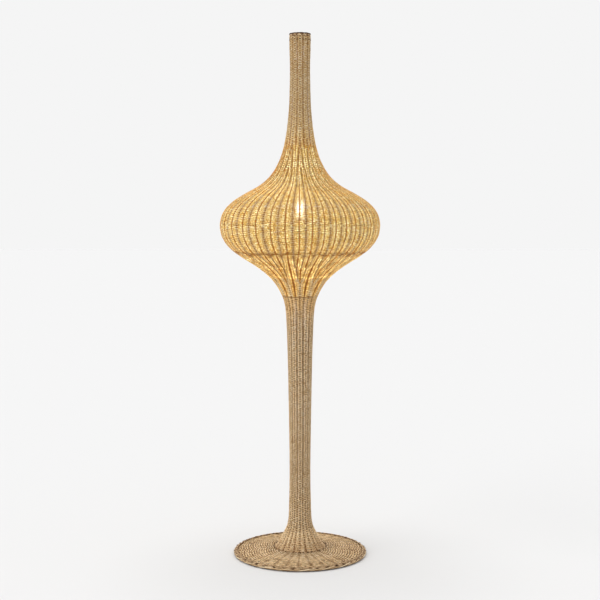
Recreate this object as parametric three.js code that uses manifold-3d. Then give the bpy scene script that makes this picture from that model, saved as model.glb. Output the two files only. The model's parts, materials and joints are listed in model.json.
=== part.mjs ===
// Rattan floor lamp: a woven stand that flares into a round foot, a woven bulb-shaped shade that
// lifts off at the waist, and a tubular bulb in a screw lampholder on the centre tube.
// Millimetres, +Z up, origin on the floor at the centre of the foot.
import * as THREE from "three";
import { mergeVertices } from "three/addons/utils/BufferGeometryUtils.js";
import Module from "manifold-3d";

const wasm = await Module();
wasm.setup();

// Outline of the lamp, all radii to the outside of the weave, as sections that stand on each other
const skirtHeight = 24;
const skirtRise = 276;
const columnLength = 602;
const lowerBowlHeight = 247;
const upperBowlHeight = 276;
const neckLength = 375;
const rimRadius = 233;
const skirtRadius = 88;
const columnRadius = 37;
const waistRadius = 61.5;
const equatorRadius = 276.2;
const neckRadius = 35;
const neckTopRadius = 37.2;
const lowerHoopShare = 0.575;
const shoulderShare = 0.5;
const narrowShare = 0.707;

// Each table goes from the lower to the upper named size: share of the rise, share of the radius change
const skirtShares = [
  [0, 0],
  [0.036, 0.147],
  [0.076, 0.294],
  [0.13, 0.46],
  [0.2, 0.647],
  [0.275, 0.83],
  [0.38, 0.93],
  [0.59, 0.967],
  [0.79, 0.992],
];
const columnShares = [
  [0, 0],
  [0.2, 0.055],
  [0.42, 0.146],
  [0.61, 0.236],
  [0.79, 0.374],
  [0.885, 0.476],
  [0.932, 0.573],
  [0.978, 0.805],
];
const lowerBowlShares = [
  [0, 0],
  [0.11, 0.062],
  [0.225, 0.153],
  [0.34, 0.29],
  [0.45, 0.465],
  [0.56, 0.666],
  [0.67, 0.83],
  [0.78, 0.932],
  [0.89, 0.986],
];
const upperBowlShares = [
  [0, 0],
  [0.05, 0.018],
  [0.1, 0.074],
  [0.152, 0.192],
  [0.2, 0.36],
  [0.254, 0.575],
  [0.31, 0.716],
  [0.37, 0.806],
  [0.44, 0.876],
  [0.52, 0.923],
  [0.63, 0.962],
  [0.78, 0.99],
];
const neckShares = [
  [0, 0],
  [0.5, 0.75],
  [1, 1],
];

// Running and seating clearances
const seatGap = 0.3;
const bowlFrameGap = 0.6;
const spigotClearance = 0.8;
const cutOverrun = 1;

// Woven skins
const shadeWeaveThickness = 5;
const columnWeaveThickness = 6;
const footWeaveThickness = 4.5;
const fluteDepth = 1.6;
const footFluteDepth = 0.9;
const neckFlutes = 12;
const flutesPerFork = 3;
const footFlutes = 24;
const glassDomeSteps = 3;
const lowerHoopRingCount = 4;
const equatorRingCount = 4;
const shoulderRingCount = 5;
const forkRingCount = 3;
const neckRingCount = 3;
const weaveInnerRadius = 78;
const footCrownShares = [0.34, 0.7];
const footCrownRiseShares = [0.72, 0.34];

// Braided borders
const rimBorderThickness = 13;
const rimFloorGap = 1.5;
const topBorderThickness = 12;
const borderSides = 6;

// Frames welded from square bar
const barSize = 4.5;
const footBarSize = 3.6;
const ribCount = 4;
const rodCount = 4;
const spokeCount = 6;
const spokeHubRadius = 98;
const rodFootRadius = 68;
const columnHoopShare = 0.55;

// Weight plate and rubber feet
const plateRadius = 172;
const plateThickness = 4;
const footCount = 4;
const footCircleRadius = 150;
const footPadRadius = 13;
const footPadHeight = 3;
const footNeckRadius = 4;
const footHeadRadius = 6;
const footHeadHeight = 2;
const footChamfer = 1;

// Centre tube and the flange that holds it upright
const tubeRadius = 10;
const tubeWall = 1.5;
const tubeRise = 182;
const flangeRadius = 36;
const flangeThickness = 5;
const flangeHubRadius = 15;
const flangeHubHeight = 26;
const flangeFillet = 4;
const cableHoleRadius = 6;

// Waist plate with its upstanding spigot, and the ring of the shade that drops over it
const waistPlateThickness = 3;
const spigotHeight = 12;
const spigotWall = 2;
const seatRingWidth = 9;
const seatRingThickness = 3;

// Lead-in bush at the back of the foot
const bushBodyRadius = 3.6;
const bushFlangeRadius = 4.8;
const bushBoreRadius = 2.6;
const bushFlangeThickness = 1;

// Screw lampholder
const tubeCapThickness = 4;
const tubeCapPlugLength = 14;
const nippleRadius = 5;
const nippleWall = 1.4;
const nippleLength = 34;
const nippleDrop = 12;
const lockNutAcrossFlats = 14;
const lockNutThickness = 3;
const holderRadius = 19.5;
const holderWall = 1.6;
const holderCapHeight = 20;
const holderCapFootRadius = 9;
const holderBodyHeight = 34;
const holderRingRadius = 22.5;
const holderRingHeight = 6;
const holderRingShare = 0.45;
const contactBlockHeight = 9;
const contactBlockShare = 0.72;
const screwShellLength = 22;
const screwShellWall = 0.6;
const springTongueWidth = 4;
const springTongueHeight = 2;

// Tubular bulb with a screw base
const bulbBaseRadius = 13.1;
const bulbBaseLength = 22;
const bulbBaseWall = 0.6;
const bulbThreadClearance = 0.6;
const bulbCollarRadius = 14.6;
const bulbCollarHeight = 3.4;
const insulatorHeight = 3.2;
const insulatorTopRadius = 11;
const insulatorTipRadius = 5.4;
const contactRadius = 4.6;
const contactHeight = 1.2;
const glassRadius = 16;
const glassLength = 98;
const glassWall = 1;
const glassNeckRadius = 11.4;
const glassNeckLength = 9;
const lightColumnRadius = 9.5;
const lightColumnLength = 72;
const lightStemRadius = 3;

const roundSides = 16;
const turn = 2 * Math.PI;

const material = (color, roughness, metalness) =>
  new THREE.MeshStandardMaterial({ color, roughness, metalness });
const paints = {
  rattan: material(0xb99768, 0.7, 0),
  litRattan: material(0xe0b765, 0.65, 0),
  cane: material(0xc7a673, 0.6, 0),
  blackSteel: material(0x2a2724, 0.55, 0.8),
  zincSteel: material(0xa8a9a6, 0.4, 0.9),
  rubber: material(0x1c1b1a, 0.85, 0),
  holderPlastic: material(0x22201e, 0.5, 0),
  ceramic: material(0xe9e4d8, 0.4, 0),
  brass: material(0xc8a250, 0.35, 0.95),
  opalGlass: material(0xfff6e0, 0.25, 0),
};

// Distance from the axis to the middle of a flat, for a round with this many sides
const flatRadius = (radius, sides) => radius * Math.cos(Math.PI / sides);

const lamp = new THREE.Group();

function place(name, geometry, paint) {
  const mesh = new THREE.Mesh(geometry, paint);
  mesh.name = name;
  lamp.add(mesh);
}

// Heights where the sections meet, and of the named places between them
const columnLowHeight = skirtHeight + skirtRise;
const waistHeight = columnLowHeight + columnLength;
const equatorHeight = waistHeight + lowerBowlHeight;
const forkHeight = equatorHeight + upperBowlHeight;
const lampHeight = forkHeight + neckLength;
const lowerHoopHeight = waistHeight + lowerHoopShare * lowerBowlHeight;
const shoulderHeight = equatorHeight + shoulderShare * upperBowlHeight;
const neckHeight = forkHeight + narrowShare * neckLength;
const tubeTopHeight = waistHeight + tubeRise;

// Outline stations between two named sizes, leaving out the upper one
function stationsBetween(shares, lowHeight, lowRadius, highHeight, highRadius) {
  return shares.map(([rise, change]) => [
    lowHeight + rise * (highHeight - lowHeight),
    lowRadius + change * (highRadius - lowRadius),
  ]);
}

const outlineStations = [
  ...stationsBetween(skirtShares, skirtHeight, skirtRadius, columnLowHeight, columnRadius),
  ...stationsBetween(columnShares, columnLowHeight, columnRadius, waistHeight, waistRadius),
  ...stationsBetween(lowerBowlShares, waistHeight, waistRadius, equatorHeight, equatorRadius),
  ...stationsBetween(upperBowlShares, equatorHeight, equatorRadius, neckHeight, neckRadius),
  ...stationsBetween(neckShares, neckHeight, neckRadius, lampHeight, neckTopRadius),
];

// Slope at each station: the harmonic mean of the spans beside it, level at a widest or narrowest place
const outlineSpans = outlineStations
  .slice(1)
  .map(([z, r], i) => (r - outlineStations[i][1]) / (z - outlineStations[i][0]));
const outlineSlopes = outlineStations.map((station, i) => {
  const before = outlineSpans[Math.max(i - 1, 0)];
  const after = outlineSpans[Math.min(i, outlineSpans.length - 1)];
  return before * after > 0 ? (2 * before * after) / (before + after) : 0;
});

// The smooth outside of the weave at a height: its radius, and its slope as radius per height
function outlineAt(height) {
  const next = outlineStations.findIndex(([z]) => z > height);
  const high = next < 0 ? outlineStations.length - 1 : Math.max(next, 1);
  const low = high - 1;
  const [z0, r0] = outlineStations[low];
  const [z1, r1] = outlineStations[high];
  const span = z1 - z0;
  const t = (height - z0) / span;
  const m0 = outlineSlopes[low] * span;
  const m1 = outlineSlopes[high] * span;
  const fromLow = (1 - t) ** 2 * (r0 * (1 + 2 * t) + m0 * t);
  const fromHigh = t ** 2 * (r1 * (3 - 2 * t) - m1 * (1 - t));
  const rise =
    (r1 - r0) * 6 * t * (1 - t) + m0 * (1 - t) * (1 - 3 * t) + m1 * t * (3 * t - 2);
  return { radius: fromLow + fromHigh, slope: rise / span };
}

// A point of the outline at a height, moved in along the surface normal: [radius, height]
function insetPoint(height, depth) {
  const { radius, slope } = outlineAt(height);
  const along = Math.hypot(1, slope);
  return [radius - depth / along, height + (depth * slope) / along];
}

// A point of the inner face on a level cut through the wall
function edgePoint(height, depth) {
  const { radius, slope } = outlineAt(height);
  return [radius - depth * Math.hypot(1, slope), height];
}

function heightsBetween(low, high, count) {
  return Array.from({ length: count + 1 }, (_, i) => low + ((high - low) * i) / count);
}

// Closed body whose rings of points follow each other round its section.
// A ring may have half the points of its neighbour.
function loopOfRings(rings) {
  const starts = [];
  const positions = [];
  const faces = [];
  rings.forEach((ring) => {
    starts.push(positions.length / 3);
    ring.forEach((point) => positions.push(...point));
  });
  rings.forEach((ring, k) => {
    const other = rings[(k + 1) % rings.length];
    const otherStart = starts[(k + 1) % rings.length];
    const count = Math.max(ring.length, other.length);
    const pick = (from, start, i) => start + (Math.floor((i * from.length) / count) % from.length);
    for (let i = 0; i < count; i += 1) {
      const a0 = pick(ring, starts[k], i);
      const a1 = pick(ring, starts[k], i + 1);
      const b0 = pick(other, otherStart, i);
      const b1 = pick(other, otherStart, i + 1);
      if (a0 !== a1) faces.push(a0, a1, b0);
      if (b0 !== b1) faces.push(a1, b1, b0);
    }
  });
  const geometry = new THREE.BufferGeometry();
  geometry.setAttribute("position", new THREE.Float32BufferAttribute(positions, 3));
  geometry.setIndex(faces);
  return geometry;
}

function ringOfPoints(count, radiusAt, heightAt) {
  return Array.from({ length: count }, (_, i) => {
    const angle = (turn * i) / count;
    const radius = radiusAt(i);
    return [radius * Math.cos(angle), radius * Math.sin(angle), heightAt(i)];
  });
}

// Woven skin between two heights, with level ends. Odd points of the outside lie in the grooves
// between stakes; grooveAt gives a groove's share of the full depth by its number and height.
function wovenSkin(heights, thickness, sides, grooveAt) {
  const outside = heights.map((height) =>
    ringOfPoints(
      sides,
      (i) => outlineAt(height).radius - (i % 2 ? fluteDepth * grooveAt((i - 1) / 2, height) : 0),
      () => height,
    ),
  );
  const inside = heights.map((height, k) => {
    const atEnd = k === 0 || k === heights.length - 1;
    const [radius, z] = atEnd ? edgePoint(height, thickness) : insetPoint(height, thickness);
    return ringOfPoints(sides / 2, () => radius, () => z);
  });
  return loopOfRings([...outside, ...inside.reverse()]);
}

// Solid of revolution about Z from [radius, height] points, listed upwards along the outside
function revolve(points, sides) {
  const profile = points.map(([radius, height]) => new THREE.Vector2(radius, height));
  return new THREE.LatheGeometry(profile, sides).rotateX(Math.PI / 2);
}

const closed = (points) => [...points, points[0]];

// Ring about Z whose section is a regular polygon with one side facing outwards, tilted up by the tilt
function ringOf([radius, height], cornerRadius, sectionSides, sides, tilt = 0) {
  const section = Array.from({ length: sectionSides }, (_, i) => {
    const angle = tilt + (turn * (i + 1 / 2)) / sectionSides;
    return [radius + cornerRadius * Math.cos(angle), height + cornerRadius * Math.sin(angle)];
  });
  return revolve(closed(section), sides);
}

// Hoop of square bar, lying flat against the weave where a height is given
const barHoop = (centre, size, sides, height) =>
  ringOf(centre, size / Math.SQRT2, 4, sides, height ? -Math.atan(outlineAt(height).slope) : 0);

// Depth from the outside of a weave to the middle of a bar that lies in a corner of its inner face
const barDepth = (thickness, innerSides, gap = seatGap) =>
  thickness + gap + (barSize / 2) * (1 + Math.tan(Math.PI / innerSides));

// Pipe or ring of rectangular section about Z
function sleeve(innerRadius, outerRadius, low, high, sides = roundSides) {
  const section = [
    [innerRadius, low],
    [outerRadius, low],
    [outerRadius, high],
    [innerRadius, high],
  ];
  return revolve(closed(section), sides);
}

// Square bar with a bend at each [radius, height] point, in the plane at an angle round Z
function bentBar(points, angle, size) {
  const half = size / 2;
  const section = new THREE.Shape([
    new THREE.Vector2(-half, -half),
    new THREE.Vector2(half, -half),
    new THREE.Vector2(half, half),
    new THREE.Vector2(-half, half),
  ]);
  const path = new THREE.CatmullRomCurve3(
    points.map(([radius, height]) => new THREE.Vector3(radius, 0, height)),
    false,
    "centripetal",
  );
  path.getUtoTmapping = (share) => share;
  const steps = points.length - 1;
  const bar = new THREE.ExtrudeGeometry(section, { steps, bevelEnabled: false, extrudePath: path });
  return bar.rotateZ(angle);
}

function toSolid(geometry) {
  const bare = geometry.clone();
  bare.deleteAttribute("normal");
  bare.deleteAttribute("uv");
  const merged = mergeVertices(bare);
  return new wasm.Manifold(
    new wasm.Mesh({
      numProp: 3,
      vertProperties: new Float32Array(merged.attributes.position.array),
      triVerts: new Uint32Array(merged.index.array),
    }),
  );
}

function fromSolid(solid) {
  const mesh = solid.getMesh();
  const geometry = new THREE.BufferGeometry();
  geometry.setAttribute("position", new THREE.BufferAttribute(new Float32Array(mesh.vertProperties), 3));
  geometry.setIndex(new THREE.BufferAttribute(new Uint32Array(mesh.triVerts), 1));
  return geometry;
}

const joined = (geometries) =>
  fromSolid(geometries.map(toSolid).reduce((whole, piece) => whole.add(piece)));

const cut = (geometry, tools) =>
  fromSolid(tools.map(toSolid).reduce((whole, tool) => whole.subtract(tool), toSolid(geometry)));

const angles = (count, offset = 0) =>
  Array.from({ length: count }, (_, i) => (turn * (i + offset)) / count);

// Weight plate and feet
const plateBottom = footPadHeight + seatGap;
const plateTop = plateBottom + plateThickness;

function weightPlate() {
  const overrun = plateThickness + 2 * cutOverrun;
  const hole = (radius, x, y) =>
    new THREE.CylinderGeometry(radius, radius, overrun, roundSides / 2)
      .rotateX(Math.PI / 2)
      .translate(x, y, plateBottom + plateThickness / 2);
  const footHoles = angles(footCount, 1 / 2).map((angle) =>
    hole(
      footNeckRadius + seatGap,
      footCircleRadius * Math.cos(angle),
      footCircleRadius * Math.sin(angle),
    ),
  );
  const disc = revolve(
    [
      [0, plateBottom],
      [plateRadius, plateBottom],
      [plateRadius, plateTop],
      [0, plateTop],
    ],
    footFlutes,
  );
  place("weight_plate", cut(disc, [hole(cableHoleRadius, 0, 0), ...footHoles]), paints.blackSteel);
}

// Push-in foot: a pad under the plate, a neck through its hole and a head that snaps out above
function rubberFoot(angle, index) {
  const headBottom = plateTop + seatGap;
  const foot = revolve(
    [
      [0, 0],
      [footPadRadius - footChamfer, 0],
      [footPadRadius, footChamfer],
      [footPadRadius, footPadHeight],
      [footNeckRadius, footPadHeight],
      [footNeckRadius, headBottom],
      [footHeadRadius, headBottom],
      [footNeckRadius, headBottom + footHeadHeight],
      [0, headBottom + footHeadHeight],
    ],
    roundSides / 2,
  ).translate(footCircleRadius * Math.cos(angle), footCircleRadius * Math.sin(angle), 0);
  place("foot_" + (index + 1), foot, paints.rubber);
}

// Woven foot: a shallow cone from the skirt of the column out to the braided rim
const footSides = 2 * footFlutes;
const borderSectionRadius = rimBorderThickness / 2;
const borderHalfWidth = flatRadius(borderSectionRadius, borderSides);
const borderCentreRadius = rimRadius - borderHalfWidth;
const borderCentreHeight = rimFloorGap + borderSectionRadius;
const footEdgeRadius = borderCentreRadius - borderHalfWidth - seatGap;
const footEdgeHeight = borderCentreHeight + footWeaveThickness;
const footTopHeight = skirtHeight - seatGap;

// Crowned top face of the foot weave, and its straight underside
const footTopStations = [
  [weaveInnerRadius, footTopHeight],
  [skirtRadius, footTopHeight],
  ...footCrownShares.map((share, i) => [
    skirtRadius + share * (footEdgeRadius - skirtRadius),
    footEdgeHeight + footCrownRiseShares[i] * (footTopHeight - footEdgeHeight),
  ]),
  [footEdgeRadius, footEdgeHeight],
];

function footUndersideAt(radius) {
  const share = Math.max(0, radius - skirtRadius) / (footEdgeRadius - skirtRadius);
  return footTopHeight + share * (footEdgeHeight - footTopHeight) - footWeaveThickness;
}

function footWeave() {
  const under = [weaveInnerRadius, skirtRadius, footEdgeRadius].map((radius) =>
    ringOfPoints(footSides, () => radius, () => footUndersideAt(radius)),
  );
  const over = [...footTopStations].reverse().map(([radius, height]) =>
    ringOfPoints(
      footSides,
      () => radius,
      (i) => height - (i % 2 && radius > skirtRadius && radius < footEdgeRadius ? footFluteDepth : 0),
    ),
  );
  place("foot_weave", loopOfRings([...under, ...over]), paints.rattan);
}

// Lead-in bush: a grommet lying radially in the rim border at the back, in a slot of its own shape
function grommetSection(bodyRadius, flangeRadius, flangeThickness, reach) {
  const neck = borderHalfWidth - flangeThickness;
  return [
    [flangeRadius, -reach],
    [flangeRadius, -neck],
    [bodyRadius, -neck],
    [bodyRadius, neck],
    [flangeRadius, neck],
    [flangeRadius, reach],
  ];
}

const lyingAtTheBack = (geometry) =>
  geometry.rotateX(-Math.PI / 2).translate(0, borderCentreRadius, borderCentreHeight);

function leadBush() {
  const outside = grommetSection(
    bushBodyRadius,
    bushFlangeRadius,
    bushFlangeThickness,
    borderHalfWidth,
  );
  const section = [[bushBoreRadius, -borderHalfWidth], ...outside, [bushBoreRadius, borderHalfWidth]];
  const bush = revolve(closed(section), roundSides / 2);
  place("lead_bush", lyingAtTheBack(bush), paints.rubber);
}

function rimBorder() {
  const centre = [borderCentreRadius, borderCentreHeight];
  const braid = ringOf(centre, borderSectionRadius, borderSides, footSides);
  const reach = borderHalfWidth + cutOverrun;
  const outside = grommetSection(
    bushBodyRadius + seatGap,
    bushFlangeRadius + seatGap,
    bushFlangeThickness + seatGap,
    reach,
  );
  const slot = revolve([[0, -reach], ...outside, [0, reach]], roundSides / 2);
  place("rim_border", cut(braid, [lyingAtTheBack(slot)]), paints.cane);
}

// Frame of the foot: a rim hoop, an inner hoop on the weight plate, and spokes that rise from it
// and run out under the weave
function footFrame() {
  const half = footBarSize / 2;
  const underWeave = (radius) => [radius, footUndersideAt(radius) - seatGap - half];
  const innerCentre = [spokeHubRadius, plateTop + seatGap + half];
  const rimCentre = underWeave(footEdgeRadius - half);
  const spokes = angles(spokeCount).map((angle) =>
    bentBar([innerCentre, underWeave(spokeHubRadius + 2 * footBarSize), rimCentre], angle, footBarSize),
  );
  const innerHoop = barHoop(innerCentre, footBarSize, footFlutes);
  const rimHoop = barHoop(rimCentre, footBarSize, footSides);
  place("foot_frame", joined([rimHoop, innerHoop, ...spokes]), paints.blackSteel);
}

// Column: woven skin over a cage of rods and hoops
const columnSides = 2 * neckFlutes;
const columnWeaveTop = waistHeight - seatGap;
const waistPlateTop = waistHeight - seatGap;
const waistPlateBottom = waistPlateTop - waistPlateThickness;
const columnFrameDepth = barDepth(columnWeaveThickness, neckFlutes);

// Heights where the column's outline bends get rings; straight stretches get few
const columnHeights = [
  ...skirtShares.slice(0, -1).map(([rise]) => skirtHeight + rise * (columnLowHeight - skirtHeight)),
  ...[0, ...columnShares.slice(3).map(([rise]) => rise)].map(
    (rise) => columnLowHeight + rise * (columnWeaveTop - columnLowHeight),
  ),
  columnWeaveTop,
];

function columnWeave() {
  const skin = wovenSkin(columnHeights, columnWeaveThickness, columnSides, () => 1);
  place("column_weave", skin, paints.rattan);
}

function columnFrame() {
  const half = barSize / 2;
  const inset = (height) => insetPoint(height, columnFrameDepth);
  const footPoint = [rodFootRadius, plateTop + seatGap + half];
  const topPoint = [
    edgePoint(waistPlateBottom - barSize, columnFrameDepth)[0],
    waistPlateBottom - seatGap - half,
  ];
  const rodPoints = [footPoint, ...columnHeights.slice(1, -1).map(inset), topPoint];
  const rods = angles(rodCount).map((angle) => bentBar(rodPoints, angle, barSize));
  const middleHeight = columnHeights[Math.round(columnHoopShare * columnHeights.length)];
  const hoops = [
    barHoop(footPoint, barSize, neckFlutes),
    barHoop(inset(middleHeight), barSize, neckFlutes, middleHeight),
    barHoop(topPoint, barSize, neckFlutes),
  ];
  place("column_frame", joined([...hoops, ...rods]), paints.blackSteel);
}

// Waist plate: a disc on the column's top hoop with a spigot standing up inside the shade's seat ring
const waistPlateRadius =
  flatRadius(edgePoint(waistPlateBottom, columnWeaveThickness)[0], neckFlutes) - 2 * seatGap;
const seatRingOuter = edgePoint(waistHeight, shadeWeaveThickness)[0] - seatGap;
const seatRingInner = seatRingOuter - seatRingWidth;
const spigotOuter = seatRingInner - spigotClearance;

function waistPlate() {
  const bore = tubeRadius + seatGap;
  const plate = revolve(
    closed([
      [bore, waistPlateBottom],
      [waistPlateRadius, waistPlateBottom],
      [waistPlateRadius, waistPlateTop],
      [spigotOuter, waistPlateTop],
      [spigotOuter, waistPlateTop + spigotHeight],
      [spigotOuter - spigotWall, waistPlateTop + spigotHeight],
      [spigotOuter - spigotWall, waistPlateTop],
      [bore, waistPlateTop],
    ]),
    columnSides,
  );
  place("waist_plate", plate, paints.blackSteel);
}

// Centre tube, its flange on the weight plate and the cap in its top
const tubeBottom = plateTop + seatGap;
const tubeBore = tubeRadius - tubeWall;

function tubeFlange() {
  const bottom = plateTop + seatGap;
  const bore = tubeRadius + seatGap;
  const flange = revolve(
    closed([
      [bore, bottom],
      [flangeRadius, bottom],
      [flangeRadius, bottom + flangeThickness],
      [flangeHubRadius + flangeFillet, bottom + flangeThickness],
      [flangeHubRadius, bottom + flangeThickness + flangeFillet],
      [flangeHubRadius, bottom + flangeHubHeight],
      [bore, bottom + flangeHubHeight],
    ]),
    roundSides,
  );
  place("tube_flange", flange, paints.blackSteel);
}

function centreTube() {
  place("centre_tube", sleeve(tubeBore, tubeRadius, tubeBottom, tubeTopHeight), paints.zincSteel);
}

const capBottom = tubeTopHeight + seatGap;
const capTop = capBottom + tubeCapThickness;

function tubeCap() {
  const bore = nippleRadius + seatGap;
  const cap = revolve(
    closed([
      [bore, tubeTopHeight - tubeCapPlugLength],
      [tubeBore - seatGap, tubeTopHeight - tubeCapPlugLength],
      [tubeBore - seatGap, capBottom],
      [tubeRadius, capBottom],
      [tubeRadius, capTop],
      [bore, capTop],
    ]),
    roundSides,
  );
  place("tube_cap", cap, paints.zincSteel);
}

// Lampholder, from the hollow nipple up
const nippleBottom = capTop - nippleDrop;
const nutBottom = capTop + seatGap;
const holderBottom = nutBottom + lockNutThickness + seatGap;
const holderCapTop = holderBottom + holderCapHeight;
const holderBodyBottom = holderCapTop + seatGap;
const blockBottom = holderBottom + contactBlockShare * holderCapHeight;
const blockTop = blockBottom + contactBlockHeight;
const blockRadius = holderRadius - holderWall - seatGap;

function nipple() {
  const piece = sleeve(nippleRadius - nippleWall, nippleRadius, nippleBottom, nippleBottom + nippleLength);
  place("holder_nipple", piece, paints.zincSteel);
}

function lockNut() {
  const cornerRadius = lockNutAcrossFlats / Math.sqrt(3);
  const bore = nippleRadius + seatGap;
  const outside = new THREE.CylinderGeometry(cornerRadius, cornerRadius, lockNutThickness, 6);
  const hole = new THREE.CylinderGeometry(bore, bore, lockNutThickness + 2 * cutOverrun, roundSides);
  const nut = cut(outside, [hole]).rotateX(Math.PI / 2).translate(0, 0, nutBottom + lockNutThickness / 2);
  place("lock_nut", nut, paints.zincSteel);
}

// Cap of the holder: a flared cup whose inner step carries the contact block
function holderCap() {
  const step = blockBottom - seatGap;
  const inner = holderRadius - holderWall;
  const neckTop = holderBottom + holderCapHeight / 3;
  const cap = revolve(
    closed([
      [nippleRadius + seatGap, holderBottom],
      [holderCapFootRadius, holderBottom],
      [holderCapFootRadius + holderWall, neckTop],
      [holderRadius, (neckTop + step) / 2],
      [holderRadius, holderCapTop],
      [inner, holderCapTop],
      [inner, step],
      [inner - 2 * holderWall, step],
      [holderCapFootRadius - holderWall, neckTop],
      [holderCapFootRadius - holderWall, holderBottom + holderWall],
      [nippleRadius + seatGap, holderBottom + holderWall],
    ]),
    roundSides,
  );
  place("holder_cap", cap, paints.holderPlastic);
}

function holderBody() {
  const body = sleeve(
    holderRadius - holderWall,
    holderRadius,
    holderBodyBottom,
    holderBodyBottom + holderBodyHeight,
  );
  place("holder_body", body, paints.holderPlastic);
}

function holderRing() {
  const low = holderBodyBottom + holderRingShare * holderBodyHeight;
  const ring = sleeve(holderRadius + seatGap, holderRingRadius, low, low + holderRingHeight);
  place("holder_ring", ring, paints.holderPlastic);
}

function contactBlock() {
  const block = revolve(
    closed([
      [nippleRadius + seatGap, blockBottom],
      [blockRadius, blockBottom],
      [blockRadius, blockTop],
      [nippleRadius + seatGap, blockTop],
    ]),
    roundSides,
  );
  place("contact_block", block, paints.ceramic);
}

// Brass screw shell that the bulb turns in, with an inturned foot on the contact block
const shellInner = bulbBaseRadius + bulbThreadClearance;
const shellOuter = shellInner + screwShellWall;
const shellBottom = blockTop + seatGap;

function screwShell() {
  const foot = nippleRadius + 2 * screwShellWall;
  const shell = revolve(
    closed([
      [foot, shellBottom],
      [shellOuter, shellBottom],
      [shellOuter, shellBottom + screwShellLength],
      [shellInner, shellBottom + screwShellLength],
      [shellInner, shellBottom + screwShellWall],
      [foot, shellBottom + screwShellWall],
    ]),
    roundSides,
  );
  place("screw_shell", shell, paints.brass);
}

// Springy centre contact: a bridge over the block's hole with a raised middle
const tongueBottom = shellBottom + screwShellWall + seatGap;
const tongueTop = tongueBottom + springTongueHeight;

function centreContact() {
  const half = nippleRadius + 3 * screwShellWall;
  const outline = new THREE.Shape([
    new THREE.Vector2(-half, 0),
    new THREE.Vector2(half, 0),
    new THREE.Vector2(half, screwShellWall),
    new THREE.Vector2(half / 2, springTongueHeight),
    new THREE.Vector2(-half / 2, springTongueHeight),
    new THREE.Vector2(-half, screwShellWall),
  ]);
  const strip = new THREE.ExtrudeGeometry(outline, { depth: springTongueWidth, bevelEnabled: false })
    .translate(0, 0, -springTongueWidth / 2)
    .rotateX(Math.PI / 2)
    .translate(0, 0, tongueBottom);
  place("centre_contact", strip, paints.brass);
}

// Bulb, from its solder contact up
const contactBottom = tongueTop + seatGap;
const insulatorBottom = contactBottom + contactHeight + seatGap;
const insulatorTop = insulatorBottom + insulatorHeight;
const baseBottom = insulatorTop + seatGap;
const baseTop = baseBottom + bulbBaseLength;
const collarBottom = Math.max(baseTop, shellBottom + screwShellLength + seatGap);
const collarTop = collarBottom + bulbCollarHeight;

function bulbContact() {
  const contact = revolve(
    [
      [0, contactBottom],
      [contactRadius / 2, contactBottom],
      [contactRadius, contactBottom + contactHeight],
      [0, contactBottom + contactHeight],
    ],
    roundSides / 2,
  );
  place("bulb_contact", contact, paints.zincSteel);
}

function bulbInsulator() {
  const insulator = revolve(
    [
      [0, insulatorBottom],
      [insulatorTipRadius, insulatorBottom],
      [insulatorTopRadius, insulatorTop],
      [0, insulatorTop],
    ],
    roundSides,
  );
  place("bulb_insulator", insulator, paints.holderPlastic);
}

// Screw cap of the bulb: a thin cup, with the collar that grips the glass neck on top
function bulbBase() {
  const inner = bulbBaseRadius - bulbBaseWall;
  const base = revolve(
    [
      [0, baseBottom],
      [insulatorTopRadius, baseBottom],
      [bulbBaseRadius, baseBottom + bulbBaseRadius - insulatorTopRadius],
      [bulbBaseRadius, collarBottom],
      [bulbCollarRadius, collarBottom],
      [bulbCollarRadius, collarTop],
      [inner, collarTop],
      [inner, baseBottom + bulbBaseWall + bulbBaseRadius - insulatorTopRadius],
      [insulatorTopRadius - bulbBaseWall, baseBottom + bulbBaseWall],
      [0, baseBottom + bulbBaseWall],
    ],
    roundSides,
  );
  place("bulb_base", base, paints.zincSteel);
}

const glassBottom = collarTop + seatGap - glassNeckLength;
const glassShoulder = collarTop + seatGap;
const glassTop = glassShoulder + glassLength;

function domeArc(radius, top, steps) {
  return Array.from({ length: steps + 1 }, (_, i) => {
    const angle = (Math.PI / 2) * (i / steps);
    return [radius * Math.cos(angle), top - radius + radius * Math.sin(angle)];
  });
}

function bulbGlass() {
  const inner = glassRadius - glassWall;
  const shoulderRise = glassRadius - glassNeckRadius;
  const outside = domeArc(glassRadius, glassTop, glassDomeSteps);
  const inside = domeArc(inner, glassTop - glassWall, glassDomeSteps).reverse();
  const glass = revolve(
    [
      ...inside,
      [inner, glassShoulder + shoulderRise],
      [glassNeckRadius - glassWall, glassShoulder],
      [glassNeckRadius - glassWall, glassBottom],
      [glassNeckRadius, glassBottom],
      [glassNeckRadius, glassShoulder],
      [glassRadius, glassShoulder + shoulderRise],
      ...outside,
    ],
    roundSides,
  );
  place("bulb_glass", glass, paints.opalGlass);
}

// Luminous column inside the opal glass, on a stem that stands in the screw cap
function lightColumn() {
  const centre = (glassShoulder + glassTop) / 2;
  const low = centre - lightColumnLength / 2;
  const high = centre + lightColumnLength / 2;
  const stemFoot = baseBottom + bulbBaseWall + seatGap;
  const column = revolve(
    [
      [0, stemFoot],
      [lightStemRadius, stemFoot],
      [lightStemRadius, low],
      [lightColumnRadius, low],
      [lightColumnRadius, high],
      [0, high],
    ],
    roundSides / 2,
  );
  place("light_column", column, paints.opalGlass);
}

// Shade: seat ring, bar frame, four stretches of weave that meet at its hoops, and the braided top border
const shadeFlutes = neckFlutes * flutesPerFork;
const shadeSides = 2 * shadeFlutes;
const bowlFrameDepth = barDepth(shadeWeaveThickness, shadeFlutes, bowlFrameGap);
const neckFrameDepth = barDepth(shadeWeaveThickness, neckFlutes);
const topBorderSectionRadius = topBorderThickness / 2;
const neckWeaveTop = lampHeight - topBorderThickness - seatGap;

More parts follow.
